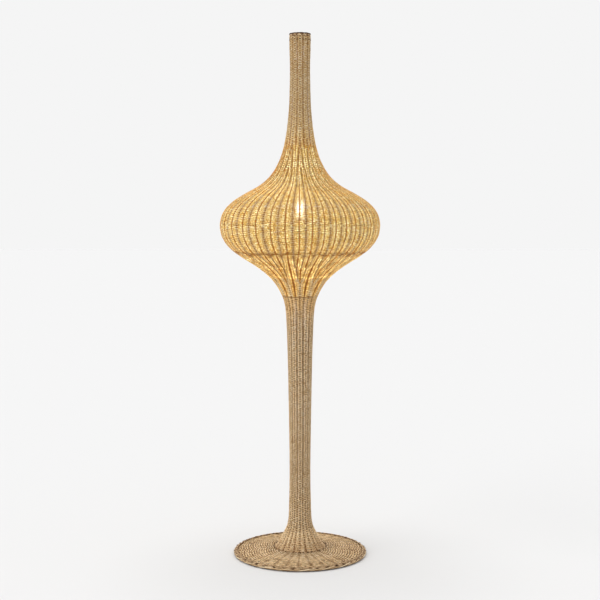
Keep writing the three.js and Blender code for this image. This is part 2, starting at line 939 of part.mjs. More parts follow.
function seatRing() {
  const low = waistPlateTop + seatGap;
  const ring = sleeve(seatRingInner, seatRingOuter, low, low + seatRingThickness, shadeFlutes);
  place("shade_seat_ring", ring, paints.blackSteel);
}

const throatHeights = [
  ...heightsBetween(waistHeight, lowerHoopHeight, lowerHoopRingCount).slice(0, -1),
  lowerHoopHeight - seatGap / 2,
];
const lowerBowlHeights = [
  lowerHoopHeight + seatGap / 2,
  ...heightsBetween(lowerHoopHeight, equatorHeight, equatorRingCount).slice(1, -1),
  equatorHeight - seatGap / 2,
];
const upperBowlHeights = [
  equatorHeight + seatGap / 2,
  ...heightsBetween(equatorHeight, shoulderHeight, shoulderRingCount).slice(1),
  ...heightsBetween(shoulderHeight, forkHeight, forkRingCount).slice(1),
];
const neckHeights = [
  forkHeight + seatGap,
  ...heightsBetween(forkHeight, neckHeight, neckRingCount).slice(1),
  neckWeaveTop,
];

// Every third groove runs the whole height; the two between it and the next fade out where the
// added stakes end, above the shoulder and below the lower hoop
function shadeGroove(number, height) {
  if (number % flutesPerFork === 0) return 1;
  const above = THREE.MathUtils.smoothstep(height, shoulderHeight, forkHeight);
  const below = THREE.MathUtils.smoothstep(height, waistHeight, lowerHoopHeight);
  return height > equatorHeight ? 1 - above : below;
}

function shadeThroatWeave() {
  const skin = wovenSkin(throatHeights, shadeWeaveThickness, shadeSides, shadeGroove);
  place("shade_throat_weave", skin, paints.litRattan);
}

function shadeLowerWeave() {
  const skin = wovenSkin(lowerBowlHeights, shadeWeaveThickness, shadeSides, shadeGroove);
  place("shade_lower_weave", skin, paints.litRattan);
}

function shadeUpperWeave() {
  const skin = wovenSkin(upperBowlHeights, shadeWeaveThickness, shadeSides, shadeGroove);
  place("shade_upper_weave", skin, paints.litRattan);
}

function neckWeave() {
  const skin = wovenSkin(neckHeights, shadeWeaveThickness, 2 * neckFlutes, () => 1);
  place("neck_weave", skin, paints.rattan);
}

function topBorder() {
  const outerRadius = neckTopRadius + seatGap;
  const centre = [
    outerRadius - flatRadius(topBorderSectionRadius, borderSides),
    lampHeight - topBorderSectionRadius,
  ];
  const braid = ringOf(centre, topBorderSectionRadius, borderSides, 2 * neckFlutes);
  place("top_border", braid, paints.cane);
}

function shadeFrame() {
  const half = barSize / 2;
  const inBowl = (height) => insetPoint(height, bowlFrameDepth);
  const inNeck = (height) => insetPoint(height, neckFrameDepth);
  const bowlHeights = [
    ...throatHeights.slice(1, -1),
    lowerHoopHeight,
    ...lowerBowlHeights.slice(1, -1),
    equatorHeight,
    ...upperBowlHeights.slice(1, -1),
  ];
  const footPoint = [
    (seatRingInner + seatRingOuter) / 2,
    waistPlateTop + 2 * seatGap + seatRingThickness + half,
  ];
  const topPoint = [edgePoint(neckWeaveTop, neckFrameDepth)[0], neckWeaveTop - half];
  const ribPoints = [
    footPoint,
    ...bowlHeights.map(inBowl),
    ...[forkHeight, ...neckHeights.slice(1, -1)].map(inNeck),
    topPoint,
  ];
  const ribs = angles(ribCount).map((angle) => bentBar(ribPoints, angle, barSize));
  const hoops = [
    barHoop(footPoint, barSize, neckFlutes),
    barHoop(inBowl(lowerHoopHeight), barSize, shadeFlutes, lowerHoopHeight),
    barHoop(inBowl(equatorHeight), barSize, shadeFlutes, equatorHeight),
    barHoop(topPoint, barSize, neckFlutes),
  ];
  place("shade_frame", joined([...hoops, ...ribs]), paints.blackSteel);
}

weightPlate();
angles(footCount, 1 / 2).forEach(rubberFoot);
footWeave();
rimBorder();
leadBush();
footFrame();
columnWeave();
columnFrame();
waistPlate();
tubeFlange();
centreTube();
tubeCap();
nipple();
lockNut();
holderCap();
holderBody();
holderRing();
contactBlock();
screwShell();
centreContact();
bulbContact();
bulbInsulator();
bulbBase();
bulbGlass();
lightColumn();
seatRing();
shadeThroatWeave();
shadeLowerWeave();
shadeUpperWeave();
neckWeave();
topBorder();
shadeFrame();

export default lamp;
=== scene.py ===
"""Rattan floor lamp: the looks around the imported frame. Metres, +Z up, the photo's viewer on -Y.

The weave is made strand by strand. Each row of weavers runs in front of one stake and behind the
next, on rings a pitch apart along the outline, and the borders are plaits of paired rods.
"""

import itertools
import json
import math

import bpy
import numpy as np
from mathutils import Euler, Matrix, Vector


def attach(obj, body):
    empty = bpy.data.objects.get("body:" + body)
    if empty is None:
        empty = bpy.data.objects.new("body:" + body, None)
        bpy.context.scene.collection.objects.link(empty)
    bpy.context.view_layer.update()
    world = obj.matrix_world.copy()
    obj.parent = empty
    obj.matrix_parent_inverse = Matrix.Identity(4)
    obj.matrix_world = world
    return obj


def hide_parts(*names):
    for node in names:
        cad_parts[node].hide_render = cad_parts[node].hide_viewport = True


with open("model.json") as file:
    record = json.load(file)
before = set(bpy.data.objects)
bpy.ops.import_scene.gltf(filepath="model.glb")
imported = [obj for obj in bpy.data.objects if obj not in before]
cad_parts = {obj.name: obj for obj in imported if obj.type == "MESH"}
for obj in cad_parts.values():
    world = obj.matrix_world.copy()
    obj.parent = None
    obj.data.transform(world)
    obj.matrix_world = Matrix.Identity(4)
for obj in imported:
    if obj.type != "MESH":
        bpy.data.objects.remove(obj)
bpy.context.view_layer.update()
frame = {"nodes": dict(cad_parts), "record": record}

MM = 0.001
TURN = 2 * math.pi
FRONT = -math.pi / 2
UP = np.array([0.0, 0.0, 1.0])
SEED = 20
rng = np.random.default_rng(SEED)

# Camera
CAMERA_PLACE = (0.0, -4.176, 1.2132)
CAMERA_TILT = math.radians(4.42)
IMAGE_SIDE = 600
FOCAL_PIXELS = 1211.0
SENSOR_WIDTH = 36.0
VIEW_DEPTH = 100


def make_camera():
    data = bpy.data.cameras.new("camera")
    data.sensor_width = SENSOR_WIDTH
    data.lens = FOCAL_PIXELS / IMAGE_SIDE * SENSOR_WIDTH
    data.clip_end = VIEW_DEPTH
    camera = bpy.data.objects.new("camera", data)
    camera.location = CAMERA_PLACE
    camera.rotation_euler = Euler((math.pi / 2 - CAMERA_TILT, 0, 0))
    bpy.context.scene.collection.objects.link(camera)
    bpy.context.scene.camera = camera


make_camera()

# Outline of the weave, with the frame's own values
SKIRT_HEIGHT, SKIRT_RISE, COLUMN_LENGTH = 24 * MM, 276 * MM, 602 * MM
LOWER_BOWL_HEIGHT, UPPER_BOWL_HEIGHT, NECK_LENGTH = 247 * MM, 276 * MM, 375 * MM
RIM_RADIUS, SKIRT_RADIUS, COLUMN_RADIUS, WAIST_RADIUS = 233 * MM, 88 * MM, 37 * MM, 61.5 * MM
EQUATOR_RADIUS, NECK_RADIUS, NECK_TOP_RADIUS = 276.2 * MM, 35 * MM, 37.2 * MM
LOWER_HOOP_SHARE, NARROW_SHARE = 0.575, 0.707
TOP_BORDER_THICKNESS = 12 * MM

COLUMN_LOW = SKIRT_HEIGHT + SKIRT_RISE
WAIST = COLUMN_LOW + COLUMN_LENGTH
EQUATOR = WAIST + LOWER_BOWL_HEIGHT
FORK = EQUATOR + UPPER_BOWL_HEIGHT
LAMP_TOP = FORK + NECK_LENGTH
LOWER_HOOP = WAIST + LOWER_HOOP_SHARE * LOWER_BOWL_HEIGHT
NARROW = FORK + NARROW_SHARE * NECK_LENGTH
NECK_TOP = LAMP_TOP - TOP_BORDER_THICKNESS

SKIRT_SHARES = [(0, 0), (0.036, 0.147), (0.076, 0.294), (0.13, 0.46), (0.2, 0.647), (0.275, 0.83),
                (0.38, 0.93), (0.59, 0.967), (0.79, 0.992)]
COLUMN_SHARES = [(0, 0), (0.2, 0.055), (0.42, 0.146), (0.61, 0.236), (0.79, 0.374), (0.885, 0.476),
                 (0.932, 0.573), (0.978, 0.805)]
LOWER_BOWL_SHARES = [(0, 0), (0.11, 0.062), (0.225, 0.153), (0.34, 0.29), (0.45, 0.465),
                     (0.56, 0.666), (0.67, 0.83), (0.78, 0.932), (0.89, 0.986)]
UPPER_BOWL_SHARES = [(0, 0), (0.05, 0.018), (0.1, 0.074), (0.152, 0.192), (0.2, 0.36),
                     (0.254, 0.575), (0.31, 0.716), (0.37, 0.806), (0.44, 0.876), (0.52, 0.923),
                     (0.63, 0.962), (0.78, 0.99)]
NECK_SHARES = [(0, 0), (0.5, 0.75), (1, 1)]


def stations_between(shares, low, low_radius, high, high_radius):
    return [(low + rise * (high - low), low_radius + change * (high_radius - low_radius))
            for rise, change in shares]


STATIONS = np.array(
    stations_between(SKIRT_SHARES, SKIRT_HEIGHT, SKIRT_RADIUS, COLUMN_LOW, COLUMN_RADIUS)
    + stations_between(COLUMN_SHARES, COLUMN_LOW, COLUMN_RADIUS, WAIST, WAIST_RADIUS)
    + stations_between(LOWER_BOWL_SHARES, WAIST, WAIST_RADIUS, EQUATOR, EQUATOR_RADIUS)
    + stations_between(UPPER_BOWL_SHARES, EQUATOR, EQUATOR_RADIUS, NARROW, NECK_RADIUS)
    + stations_between(NECK_SHARES, NARROW, NECK_RADIUS, LAMP_TOP, NECK_TOP_RADIUS))
SPANS = np.diff(STATIONS[:, 1]) / np.diff(STATIONS[:, 0])
FINE_STEPS = 4001


def slopes_at_stations():
    """Harmonic means of the two spans beside each station, and flat where they turn."""
    before = np.concatenate([SPANS[:1], SPANS])
    after = np.concatenate([SPANS, SPANS[-1:]])
    together = before * after > 0
    mean = 2 * before * after / np.where(together, before + after, 1)
    return np.where(together, mean, 0)


SLOPES = slopes_at_stations()


def outline(height):
    """Radius and slope of the smooth outside of the weave at each height."""
    height = np.asarray(height, float)
    low = np.clip(np.searchsorted(STATIONS[:, 0], height, side="right") - 1, 0, len(STATIONS) - 2)
    z0, r0 = STATIONS[low].T
    z1, r1 = STATIONS[low + 1].T
    span = z1 - z0
    t = (height - z0) / span
    m0, m1 = SLOPES[low] * span, SLOPES[low + 1] * span
    radius = ((1 - t) ** 2 * (r0 * (1 + 2 * t) + m0 * t)
              + t ** 2 * (r1 * (3 - 2 * t) - m1 * (1 - t)))
    rise = (r1 - r0) * 6 * t * (1 - t) + m0 * (1 - t) * (1 - 3 * t) + m1 * t * (3 * t - 2)
    return radius, rise / span


def stations_along(low, high, pitch):
    """Heights a pitch apart along the outline between two heights, half a pitch clear of each."""
    fine = np.linspace(low, high, FINE_STEPS)
    radius, _ = outline(fine)
    along = np.concatenate([[0], np.cumsum(np.hypot(np.diff(fine), np.diff(radius)))])
    count = max(1, round(along[-1] / pitch))
    return np.interp((np.arange(count) + 0.5) / count * along[-1], along, fine)


def smoothstep(value, low, high):
    t = np.clip((np.asarray(value, float) - low) / (high - low), 0, 1)
    return t * t * (3 - 2 * t)


def bell(distance, width):
    return np.exp(-(distance / width) ** 2)


# Stakes: two to a sector on the column and neck, four through the forks, six on the bowl
SECTORS = 12
SECTOR = TURN / SECTORS
FORK_HIGH, FORK_LOW = 1.413, 1.345
MERGE_HIGH, MERGE_LOW = 1.006, 0.956
SPREAD = 0.075
PAIR_SHARE, QUARTER_SHARE = 0.42, 0.25
TWIN_SHARE, EVEN_SHARE = 0.035, 1 / 12


def stake_shares(height):
    """Where the stakes of one sector stand at a height, as shares of the sector."""
    if height >= FORK_HIGH or height <= MERGE_LOW:
        return np.array([0, 0.5])
    out = min(1, (FORK_HIGH - height) / SPREAD, (height - MERGE_LOW) / SPREAD)
    spread = PAIR_SHARE + (QUARTER_SHARE - PAIR_SHARE) * math.sqrt(out)
    if height >= FORK_LOW or height <= MERGE_HIGH:
        return np.array([0, spread, 0.5, 1 - spread])
    out = min(1, (FORK_LOW - height) / SPREAD, (height - MERGE_HIGH) / SPREAD)
    apart = TWIN_SHARE + (EVEN_SHARE - TWIN_SHARE) * math.sqrt(out)
    quarter = spread + (QUARTER_SHARE - spread) * out
    return np.array([0, quarter - apart, quarter + apart,
                     0.5, 1 - quarter - apart, 1 - quarter + apart])


# Drift of the stakes, and where the even ones lie bare
WANDER_WAVES, WANDER_SHARE, WANDER_RATES = 5, 0.14, (0.7, 2.2)
WARP, WARP_LOBES = math.radians(5.7), 2
WARP_TURN, WARP_SHIFT = math.radians(15), math.radians(-1.0)
BARE_START, BARE_START_FULL, BARE_END_FULL, BARE_END = 0.925, 0.985, 1.40, 1.45
wander_phase = rng.uniform(0, TURN, (WANDER_WAVES, 2))
wander_rate = rng.uniform(*WANDER_RATES, WANDER_WAVES)


def on_bowl(height):
    """The share of the bowl's warp that the stakes take at a height."""
    return (smoothstep(height, MERGE_LOW, MERGE_HIGH + SPREAD)
            * (1 - smoothstep(height, FORK_LOW - SPREAD, FORK_HIGH)))


def wander(angle, height, amount):
    """A slow hand-made drift of the stakes with angle and height, and the bowl's two-lobed warp."""
    drift = sum(np.sin((k + 1) * angle + wander_phase[k, 0])
                * np.sin(TURN * wander_rate[k] * height + wander_phase[k, 1]) / (k + 1)
                for k in range(WANDER_WAVES))
    warp = WARP * np.cos(WARP_LOBES * (angle - FRONT + WARP_TURN)) + WARP_SHIFT
    return amount * drift + warp * on_bowl(height)


def stake_angles(height):
    """The angles of all stakes at a height, round the axis from the front."""
    shares = stake_shares(height)
    regular = FRONT + SECTOR * (np.arange(SECTORS)[:, None] + 0.5 + shares[None, :]).ravel()
    spacing = SECTOR / len(shares)
    return regular + wander(regular, height, WANDER_SHARE * spacing)


def exposure(height):
    """How far the even stakes lie bare outside: fully on the lit bowl, not at all elsewhere."""
    return (smoothstep(height, BARE_START, BARE_START_FULL)
            * (1 - smoothstep(height, BARE_END_FULL, BARE_END)))


# Mesh building
# Point values: tone, painted glow, painted shade, place along the strand, and painted tint of lamp
# glow
LABELS = ("tone", "glow", "cavity", "along", "warm")


class Builder:
    """Collects tubes of points as quads, with a value of each of LABELS at every point."""

    def __init__(self):
        self.points, self.faces, self.extra, self.count = [], [], [], 0

    def tube(self, rings, closed, **values):
        """Joins rings of points (n, sides, 3) in turn, and the last to the first when closed."""
        n, sides, _ = rings.shape
        index = self.count + np.arange(n * sides).reshape(n, sides)
        following = np.roll(index, -1, axis=0) if closed else index[1:]
        here = index if closed else index[:-1]
        quads = np.stack([here, np.roll(here, -1, 1), np.roll(following, -1, 1), following], -1)
        self.points.append(rings.reshape(-1, 3))
        self.faces.append(quads.reshape(-1, 4))
        self.extra.append(np.stack([np.broadcast_to(values.get(label, 0.0), (n, sides)).ravel()
                                    for label in LABELS], -1))
        self.count += n * sides
        if not closed:
            self.cap(index[0][::-1])
            self.cap(index[-1])

    def cap(self, ring):
        for k in range(1, len(ring) - 1, 2):
            last = ring[min(k + 2, len(ring) - 1)]
            self.faces.append(np.array([[ring[0], ring[k], ring[k + 1], last]]))

    def finish(self, name, body, material, replaced, slot):
        points = np.concatenate(self.points)
        faces = np.concatenate(self.faces)
        mesh = bpy.data.meshes.new(name)
        mesh.vertices.add(len(points))
        mesh.vertices.foreach_set("co", points.astype(np.float32).ravel())
        triangle = faces[:, 2] == faces[:, 3]
        keep = np.ones(faces.shape, bool)
        keep[:, 3] = ~triangle
        loops = faces[keep]
        sizes = np.where(triangle, 3, 4)
        mesh.loops.add(len(loops))
        mesh.loops.foreach_set("vertex_index", loops.astype(np.int32))
        mesh.polygons.add(len(faces))
        starts = np.cumsum(sizes) - sizes
        mesh.polygons.foreach_set("loop_start", starts.astype(np.int32))
        mesh.polygons.foreach_set("loop_total", sizes.astype(np.int32))
        extra = np.concatenate(self.extra)
        for column, label in enumerate(LABELS):
            attribute = mesh.attributes.new(label, "FLOAT", "POINT")
            attribute.data.foreach_set("value", extra[:, column].astype(np.float32))
        mesh.update()
        mesh.validate()
        mesh.shade_smooth()
        mesh.materials.append(material)
        piece = bpy.data.objects.new(name, mesh)
        bpy.context.scene.collection.objects.link(piece)
        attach(piece, body)
        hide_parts(replaced)


# Glow of the lit weave, and how far up it reaches
GLOW_EDGE, GLOW_FULL, GLOW_LOW, GLOW_TOP = 5 * MM, 1.395, 1.44, 1.545
FAINT_GLOW, THROAT_GLOW, NECK_SHADE = 0.3, 0.5, 0.13

# Dark and light at the stakes of the bowl, stronger where the stakes come close under the fork
NARROW_PANEL, NARROW_POWER = 24 * MM, 0.5
UNEVEN_ROWS = (1.3, 0.7)
BARE_WIDTH = 2.1 * MM
COVERED_SHADE, COVERED_WIDTH = 0.6, 2.6 * MM
BESIDE_LIGHT, BESIDE_PLACE, BESIDE_WIDTH, BESIDE_POWER = 0.75, 5.2 * MM, 3.0 * MM, 0.4
SOFT_WIDTH, SOFT_SHIFT, SOFT_POWER = 6.2 * MM, 1.4 * MM, 0.6
SOFT_SHADE, SOFT_DARK, SOFT_GREY = 0.95, 0.38, 0.95
CLOSE_START, CLOSE_END, CLOSE_LIGHT, CLOSE_DARK = 1.25, 1.33, 1.5, 0.5

# Lines and patches of the throat
THROAT_PANEL = 0.08
LINE_SHADE, LINE_WIDTH, LOW_NARROWING = 1.3, 3.5 * MM, 0.35
LINE_LIGHT, LINE_SIDE, LINE_SIDE_WIDTH = 2.5, 6.2 * MM, 2.2 * MM
PATCH_WIDTH, PATCH_EDGE = 11 * MM, 3 * MM
BRIGHT_ROW, BRIGHT_LINE, BRIGHT_LIGHT = 0.9724, 2.5 * MM, 1.5

# Painted shadow of the lower hoop, and the seam and waist
HOOP_SHADOW_HEIGHT, SCALLOP, SCALLOP_CELL = 1.0545, 3.6 * MM, 0.7
HOOP_SHADOW_WIDTH, HOOP_EDGE = 4.9 * MM, 8 * MM
SEAM_HEIGHT, SEAM_LINE, SEAM_SHADE, SEAM_DARK = EQUATOR + 1.9 * MM, 1.7 * MM, 0.12, 0.42
DASH_SHARE = 0.1
LEAK_WIDTH, LEAK_LIGHT = 3.2 * MM, 6.0
WAIST_LINE, WAIST_DASHES, WAIST_FAINT = 4.5 * MM, 0.7, 0.3

# Specks, cells, and the painted tint of lamp glow on the strands
SPECK_SHARE, SPECK_LIGHT = 0.03, 0.5
CELL_LIGHT, POINT_LIGHT, WAVE_LIGHT = 0.05, 0.24, 0.35
GLOW_TINT_GAIN, GLOW_TINT_LEVEL, GLOW_TINT_NOISE = 1.6, 0.95, 0.4


def glow_of_height(height):
    """How strongly the shade glows at a height, from the waist up into the foot of the neck."""
    rise = (THROAT_GLOW * smoothstep(height, WAIST, WAIST + GLOW_EDGE)
            + (1 - THROAT_GLOW) * smoothstep(height, WAIST, MERGE_HIGH))
    fade = 1 - smoothstep(height, GLOW_FULL, GLOW_LOW)
    faint = FAINT_GLOW * (1 - smoothstep(height, GLOW_FULL, GLOW_TOP))
    return rise * np.maximum(fade, faint)


def panel_light(ring, bare, close, scale, uneven, soft):
    """Light of the bowl's panels: none at bare stakes, most beside them, little at covered ones."""
    at_stake = bell(ring.even, BARE_WIDTH * scale ** NARROW_POWER)
    beside = bell(ring.even - BESIDE_PLACE * scale, BESIDE_WIDTH * scale)
    beside_light = (BESIDE_LIGHT + CLOSE_LIGHT * close) * uneven * ring.streak_light ** BESIDE_POWER
    covered = COVERED_SHADE * bell(ring.even, COVERED_WIDTH * scale)
    light = 1 - bare * at_stake + bare * beside_light * beside - (1 - bare) * covered
    return light * (1 - SOFT_SHADE * soft)


def light_of_row(ring, height):
    """Painted glow, shade and lamp-glow tint that stakes, hoops and seams leave along one row of
    weave.
    """
    scale = np.minimum(1, (ring.even + ring.odd) / NARROW_PANEL)
    bare = exposure(height)
    close = smoothstep(height, CLOSE_START, CLOSE_END)
    uneven = np.where((ring.row + ring.stake) % 2 == 0, *UNEVEN_ROWS)
    seam = bell(height - SEAM_HEIGHT, SEAM_LINE)
    leak = seam * ring.leak * bell(ring.odd, LEAK_WIDTH)
    soft = bell(ring.odd, SOFT_WIDTH * scale * uneven ** SOFT_POWER * ring.rough) * (1 - leak)
    on_panels = panel_light(ring, bare, close, scale, uneven, soft)

    nearest = np.minimum(ring.even, ring.odd)
    low = 1 - smoothstep(height, BRIGHT_ROW - PATCH_EDGE, BRIGHT_ROW)
    line = bell(nearest, LINE_WIDTH * scale ** NARROW_POWER * (1 - LOW_NARROWING * low))
    beside_line = bell(nearest - LINE_SIDE * scale, LINE_SIDE_WIDTH * scale)
    on_throat = THROAT_PANEL - LINE_SHADE * line + LINE_LIGHT * uneven * ring.streak_light * beside_line
    throat = 1 - smoothstep(height, LOWER_HOOP - HOOP_EDGE, LOWER_HOOP)
    patch = low * bell(ring.odd, PATCH_WIDTH * scale)

    # Painted shadow of the lower hoop: a scalloped dark line across the glow and the colour
    scallop = HOOP_SHADOW_HEIGHT + SCALLOP * (1 - 2 * ring.share + SCALLOP_CELL * ring.cell)
    hoop_shadow = bell(height - scallop, HOOP_SHADOW_WIDTH) * np.minimum(1, ring.rough)
    dash = seam * np.where(ring.speck < DASH_SHARE, 1, SEAM_SHADE)
    waist = bell(height - WAIST, WAIST_LINE) * np.where(ring.chance < WAIST_DASHES, 1, WAIST_FAINT)
    lit = (1 - patch) * (1 - hoop_shadow) * (1 - dash) * (1 - waist)
    # Painted glow varied by cell, point and the row's weave
    glow_texture = 1 + CELL_LIGHT * ring.cell + POINT_LIGHT * ring.hue + WAVE_LIGHT * ring.wave
    glow = ((on_panels + (on_throat - on_panels) * throat) * lit * glow_texture + LEAK_LIGHT * leak
            + SPECK_LIGHT * (ring.speck < SPECK_SHARE)
            + BRIGHT_LIGHT * bell(height - BRIGHT_ROW, BRIGHT_LINE))

    soft_shade = (SOFT_DARK + CLOSE_DARK * close) * soft * bare * uneven * (1 - throat)
    line_shade = line * throat * (1 - patch)
    seam_shade = SEAM_DARK * seam * (1 - leak)
    neck_shade = np.full_like(glow, NECK_SHADE * smoothstep(height, GLOW_LOW, NARROW))
    shade = np.maximum.reduce([soft_shade, line_shade, hoop_shadow, dash, waist, seam_shade, neck_shade])
    strength = glow_of_height(height)
    # Painted tint of lamp glow on the strands' colour, following the glow's strength
    level = np.minimum(1, GLOW_TINT_GAIN * strength) * (1 - SOFT_GREY * soft) * (1 - patch)
    warm = level * (GLOW_TINT_LEVEL + GLOW_TINT_NOISE * ring.warmth)
    return strength * np.clip(glow, 0, None), np.clip(shade, 0, 1), np.clip(warm, 0, 1)


# Weavers
WEAVER_SIDES = 6
BOWL_PITCH, PLAIN_PITCH, DISC_PITCH = 3.8 * MM, 4.0 * MM, 4.4 * MM
HALF_HEIGHT_SHARE, HALF_DEPTH = 0.478, 1.1 * MM
OPEN_LOW, OPEN_HIGH, OPEN_EDGE, OPEN_SHARE = 1.168, 1.248, 6 * MM, 0.12
BEHIND_DIP, NECK_DIP, BARE_DIP = 3.4 * MM, 2.4 * MM, 1.5 * MM
DIP_WIDTH, NEAR_SHARE = 2.6 * MM, 0.3
STAKE_STEPS = np.array([-1.3, -0.5, 0.5, 1.3])
PANEL_STEPS = np.array([0.27, 0.5, 0.73])
# Depths under the skin over which painted shade grows
SHADE_DEPTH_LOW, SHADE_DEPTH_HIGH = 0.7 * MM, 3.4 * MM
DRIFT, LIFT, WOBBLE_WAVES = 0.12 * MM, 0.16 * MM, (3, 7, 11, 15)
HOOP_NEAR, HOOP_TALLER = 4 * MM, 0.08
CELL_TONE = 0.3
# Painted shade where rows pass behind stakes, on the bowl and elsewhere, and how deep the disc's
# rows dip
BOWL_WAVE_SHADE, PLAIN_WAVE_SHADE, WAVE_DIP = 0.34, 0.08, 2.7 * MM
ROW_SEED, ROUGH_RANGE = 7000, (0.6, 1.4)
# Painted bright streaks of light beside the stakes: seed, rows that share them, and range
STREAK_SEED, STREAK_ROWS, STREAK_RANGE = 90000, 3, (0.45, 1.55)

# What stays the same up one stake, and the lengths of strand that the weavers take
MOST_STAKES = 72
STRENGTH_RANGE, LEAKY_SHARE, LEAK_RANGE = (0.45, 1.25), 0.6, (0.4, 1)
TONES_HELD, TONE_LIMIT = 4000, 1.4
WEAVER_LENGTH, LENGTH_RANGE = 1.9, (0.6, 1.3)
stake_strength = rng.uniform(*STRENGTH_RANGE, MOST_STAKES)
stake_leak = (rng.uniform(0, 1, MOST_STAKES) < LEAKY_SHARE) * rng.uniform(*LEAK_RANGE, MOST_STAKES)
row_numbers = itertools.count()


class Tones:
    """The tone of each length of strand in turn, as the weaver takes a new one."""

    def __init__(self):
        self.used = 0.0
        self.tones = np.clip(rng.normal(0, 1, TONES_HELD), -TONE_LIMIT, TONE_LIMIT)
        self.ends = np.cumsum(rng.uniform(*LENGTH_RANGE, TONES_HELD) * WEAVER_LENGTH)

    def take(self, length, shares):
        """Tones and places along the strand, at shares of the next length of it."""
        at = self.used + shares * length
        self.used += length
        return self.tones[np.searchsorted(self.ends, at)], at


TONES = (Tones(), Tones())


def wobble(angle, local, amount):
    """A small closed waviness of one row."""
    phases = local.uniform(0, TURN, len(WOBBLE_WAVES))
    return amount * sum(np.sin(waves * angle + phase) / (1 + k)
                        for k, (waves, phase) in enumerate(zip(WOBBLE_WAVES, phases)))


class Ring:
    """The points of one row of weave: their angles, and how far the stakes beside them are."""

    def __init__(self, row, stakes, radius, bare, even_wave=0.0, wave_shade=PLAIN_WAVE_SHADE,
                 behind_dip=BEHIND_DIP):
        n = len(stakes)
        ahead = np.diff(np.append(stakes, stakes[0] + TURN)) * radius
        behind = np.roll(ahead, 1)
        reach = np.minimum(DIP_WIDTH, NEAR_SHARE * np.minimum(ahead, behind))[:, None]
        offset = np.concatenate([reach * STAKE_STEPS, ahead[:, None] * PANEL_STEPS], axis=1)
        number = np.broadcast_to(np.arange(n)[:, None], offset.shape)
        beyond = number + np.sign(offset).astype(int)
        is_even = number % 2 == 0
        front = (row + number) % 2 == 0
        own = np.abs(offset)
        other = np.where(offset > 0, ahead[:, None], behind[:, None]) - own
        shifted = np.abs(offset + SOFT_SHIFT * (-1) ** row)
        self.row, self.wave_shade = row, wave_shade
        self.angle = (stakes[:, None] + offset / radius).ravel()
        self.even = np.where(is_even, own, other).ravel()
        self.odd = np.where(is_even, other, np.minimum(own + SOFT_SHIFT, shifted)).ravel()
        self.share = self.even / (self.even + self.odd)
        self.stake = np.where(own <= other, number, beyond).ravel() % n
        self.draw(n, np.where(front, number, beyond).ravel() % n)

        side = np.where(front, 1, -1) * np.where(own <= other, 1, -1)
        self.wave = (side * np.abs(np.cos(math.pi * own / (own + other)))).ravel()
        uncovered = bare * is_even
        strength = stake_strength[::MOST_STAKES // n][:n, None]
        dip = (~front * behind_dip * strength) * (1 - uncovered) + BARE_DIP * uncovered
        self.dip = ((1 - even_wave) * (dip * bell(own, reach)).ravel()
                    + even_wave * WAVE_DIP * (1 - self.wave) / 2 * self.rough)

    def draw(self, n, cells):
        """The chances of the row's cells, stakes and points, from the row's own seed."""
        self.local = np.random.default_rng(ROW_SEED + self.row)
        self.cell = self.local.normal(0, 1, n)[cells]
        self.chance = self.local.uniform(0, 1, n)[cells]
        self.speck = self.local.uniform(0, 1, self.angle.shape)
        self.hue, self.warmth = self.local.normal(0, 1, (2, len(self.angle)))
        self.rough = self.local.uniform(*ROUGH_RANGE, n)[self.stake]
        self.leak = stake_leak[::MOST_STAKES // n][:n][self.stake]
        # Painted light of the streaks beside the stakes, the same for a few rows
        streak_lights = np.random.default_rng(STREAK_SEED + self.row // STREAK_ROWS)
        self.streak_light = streak_lights.uniform(*STREAK_RANGE, n)[self.stake]


def roll_of_row(height, slope, pitch):
    """How far a row's strand lies over beside the bulb, so that some of its light passes level."""
    window = (smoothstep(height, OPEN_LOW - OPEN_EDGE, OPEN_LOW)
              * (1 - smoothstep(height, OPEN_HIGH, OPEN_HIGH + OPEN_EDGE)))
    tilt = math.atan(abs(slope))
    tall, flat = HALF_HEIGHT_SHARE * pitch, HALF_DEPTH
    wanted = (1 - OPEN_SHARE) * pitch * math.cos(tilt) / 2
    share = (wanted ** 2 - flat ** 2) / (tall ** 2 - flat ** 2)
    lean = math.acos(math.sqrt(min(1, max(0, share))))
    return float(window) * max(0, lean - tilt)


def weave_ring(builder, ring, radius, height, normal, upward, half_height, grooves,
               light=(0, 0, 0), roll=0):
    """One closed strand round the axis; normal and upward lead across the skin, as (out, up)."""
    glow, shade, warm = (np.broadcast_to(value, ring.angle.shape)[:, None] for value in light)
    drift = wobble(ring.angle, ring.local, DRIFT)
    at_hoop = bell(height - LOWER_HOOP, HOOP_NEAR) + bell(height - EQUATOR, HOOP_NEAR)
    lift = wobble(ring.angle, ring.local, LIFT) * (1 - at_hoop)
    half_height = half_height * (1 + HOOP_TALLER * at_hoop)
    inward = HALF_DEPTH + ring.dip + grooves - drift
    section = np.arange(WEAVER_SIDES) / WEAVER_SIDES * TURN
    flat, tall = HALF_DEPTH * np.cos(section), half_height * np.sin(section)
    out = (flat * math.cos(roll) - tall * math.sin(roll))[None, :] - inward[:, None]
    up = (flat * math.sin(roll) + tall * math.cos(roll))[None, :] + lift[:, None]
    r = radius + normal[0] * out + upward[0] * up
    z = height + normal[1] * out + upward[1] * up
    points = np.stack([r * np.cos(ring.angle)[:, None], r * np.sin(ring.angle)[:, None], z], -1)
    tone, along = TONES[ring.row % 2].take(TURN * radius, (ring.angle - ring.angle[0]) / TURN)
    # Painted shade on the strand: where it passes behind a stake, the deeper it lies under the
    # skin, and the row's own shade
    behind = ring.wave_shade * (1 - ring.wave[:, None]) / 2
    shade_in_hollows = 1 - (1 - smoothstep(-out, SHADE_DEPTH_LOW, SHADE_DEPTH_HIGH)) * (1 - shade) * (1 - behind)
    builder.tube(points, True, tone=(tone + CELL_TONE * ring.cell)[:, None], glow=glow,
                 cavity=shade_in_hollows, along=along[:, None], warm=warm)


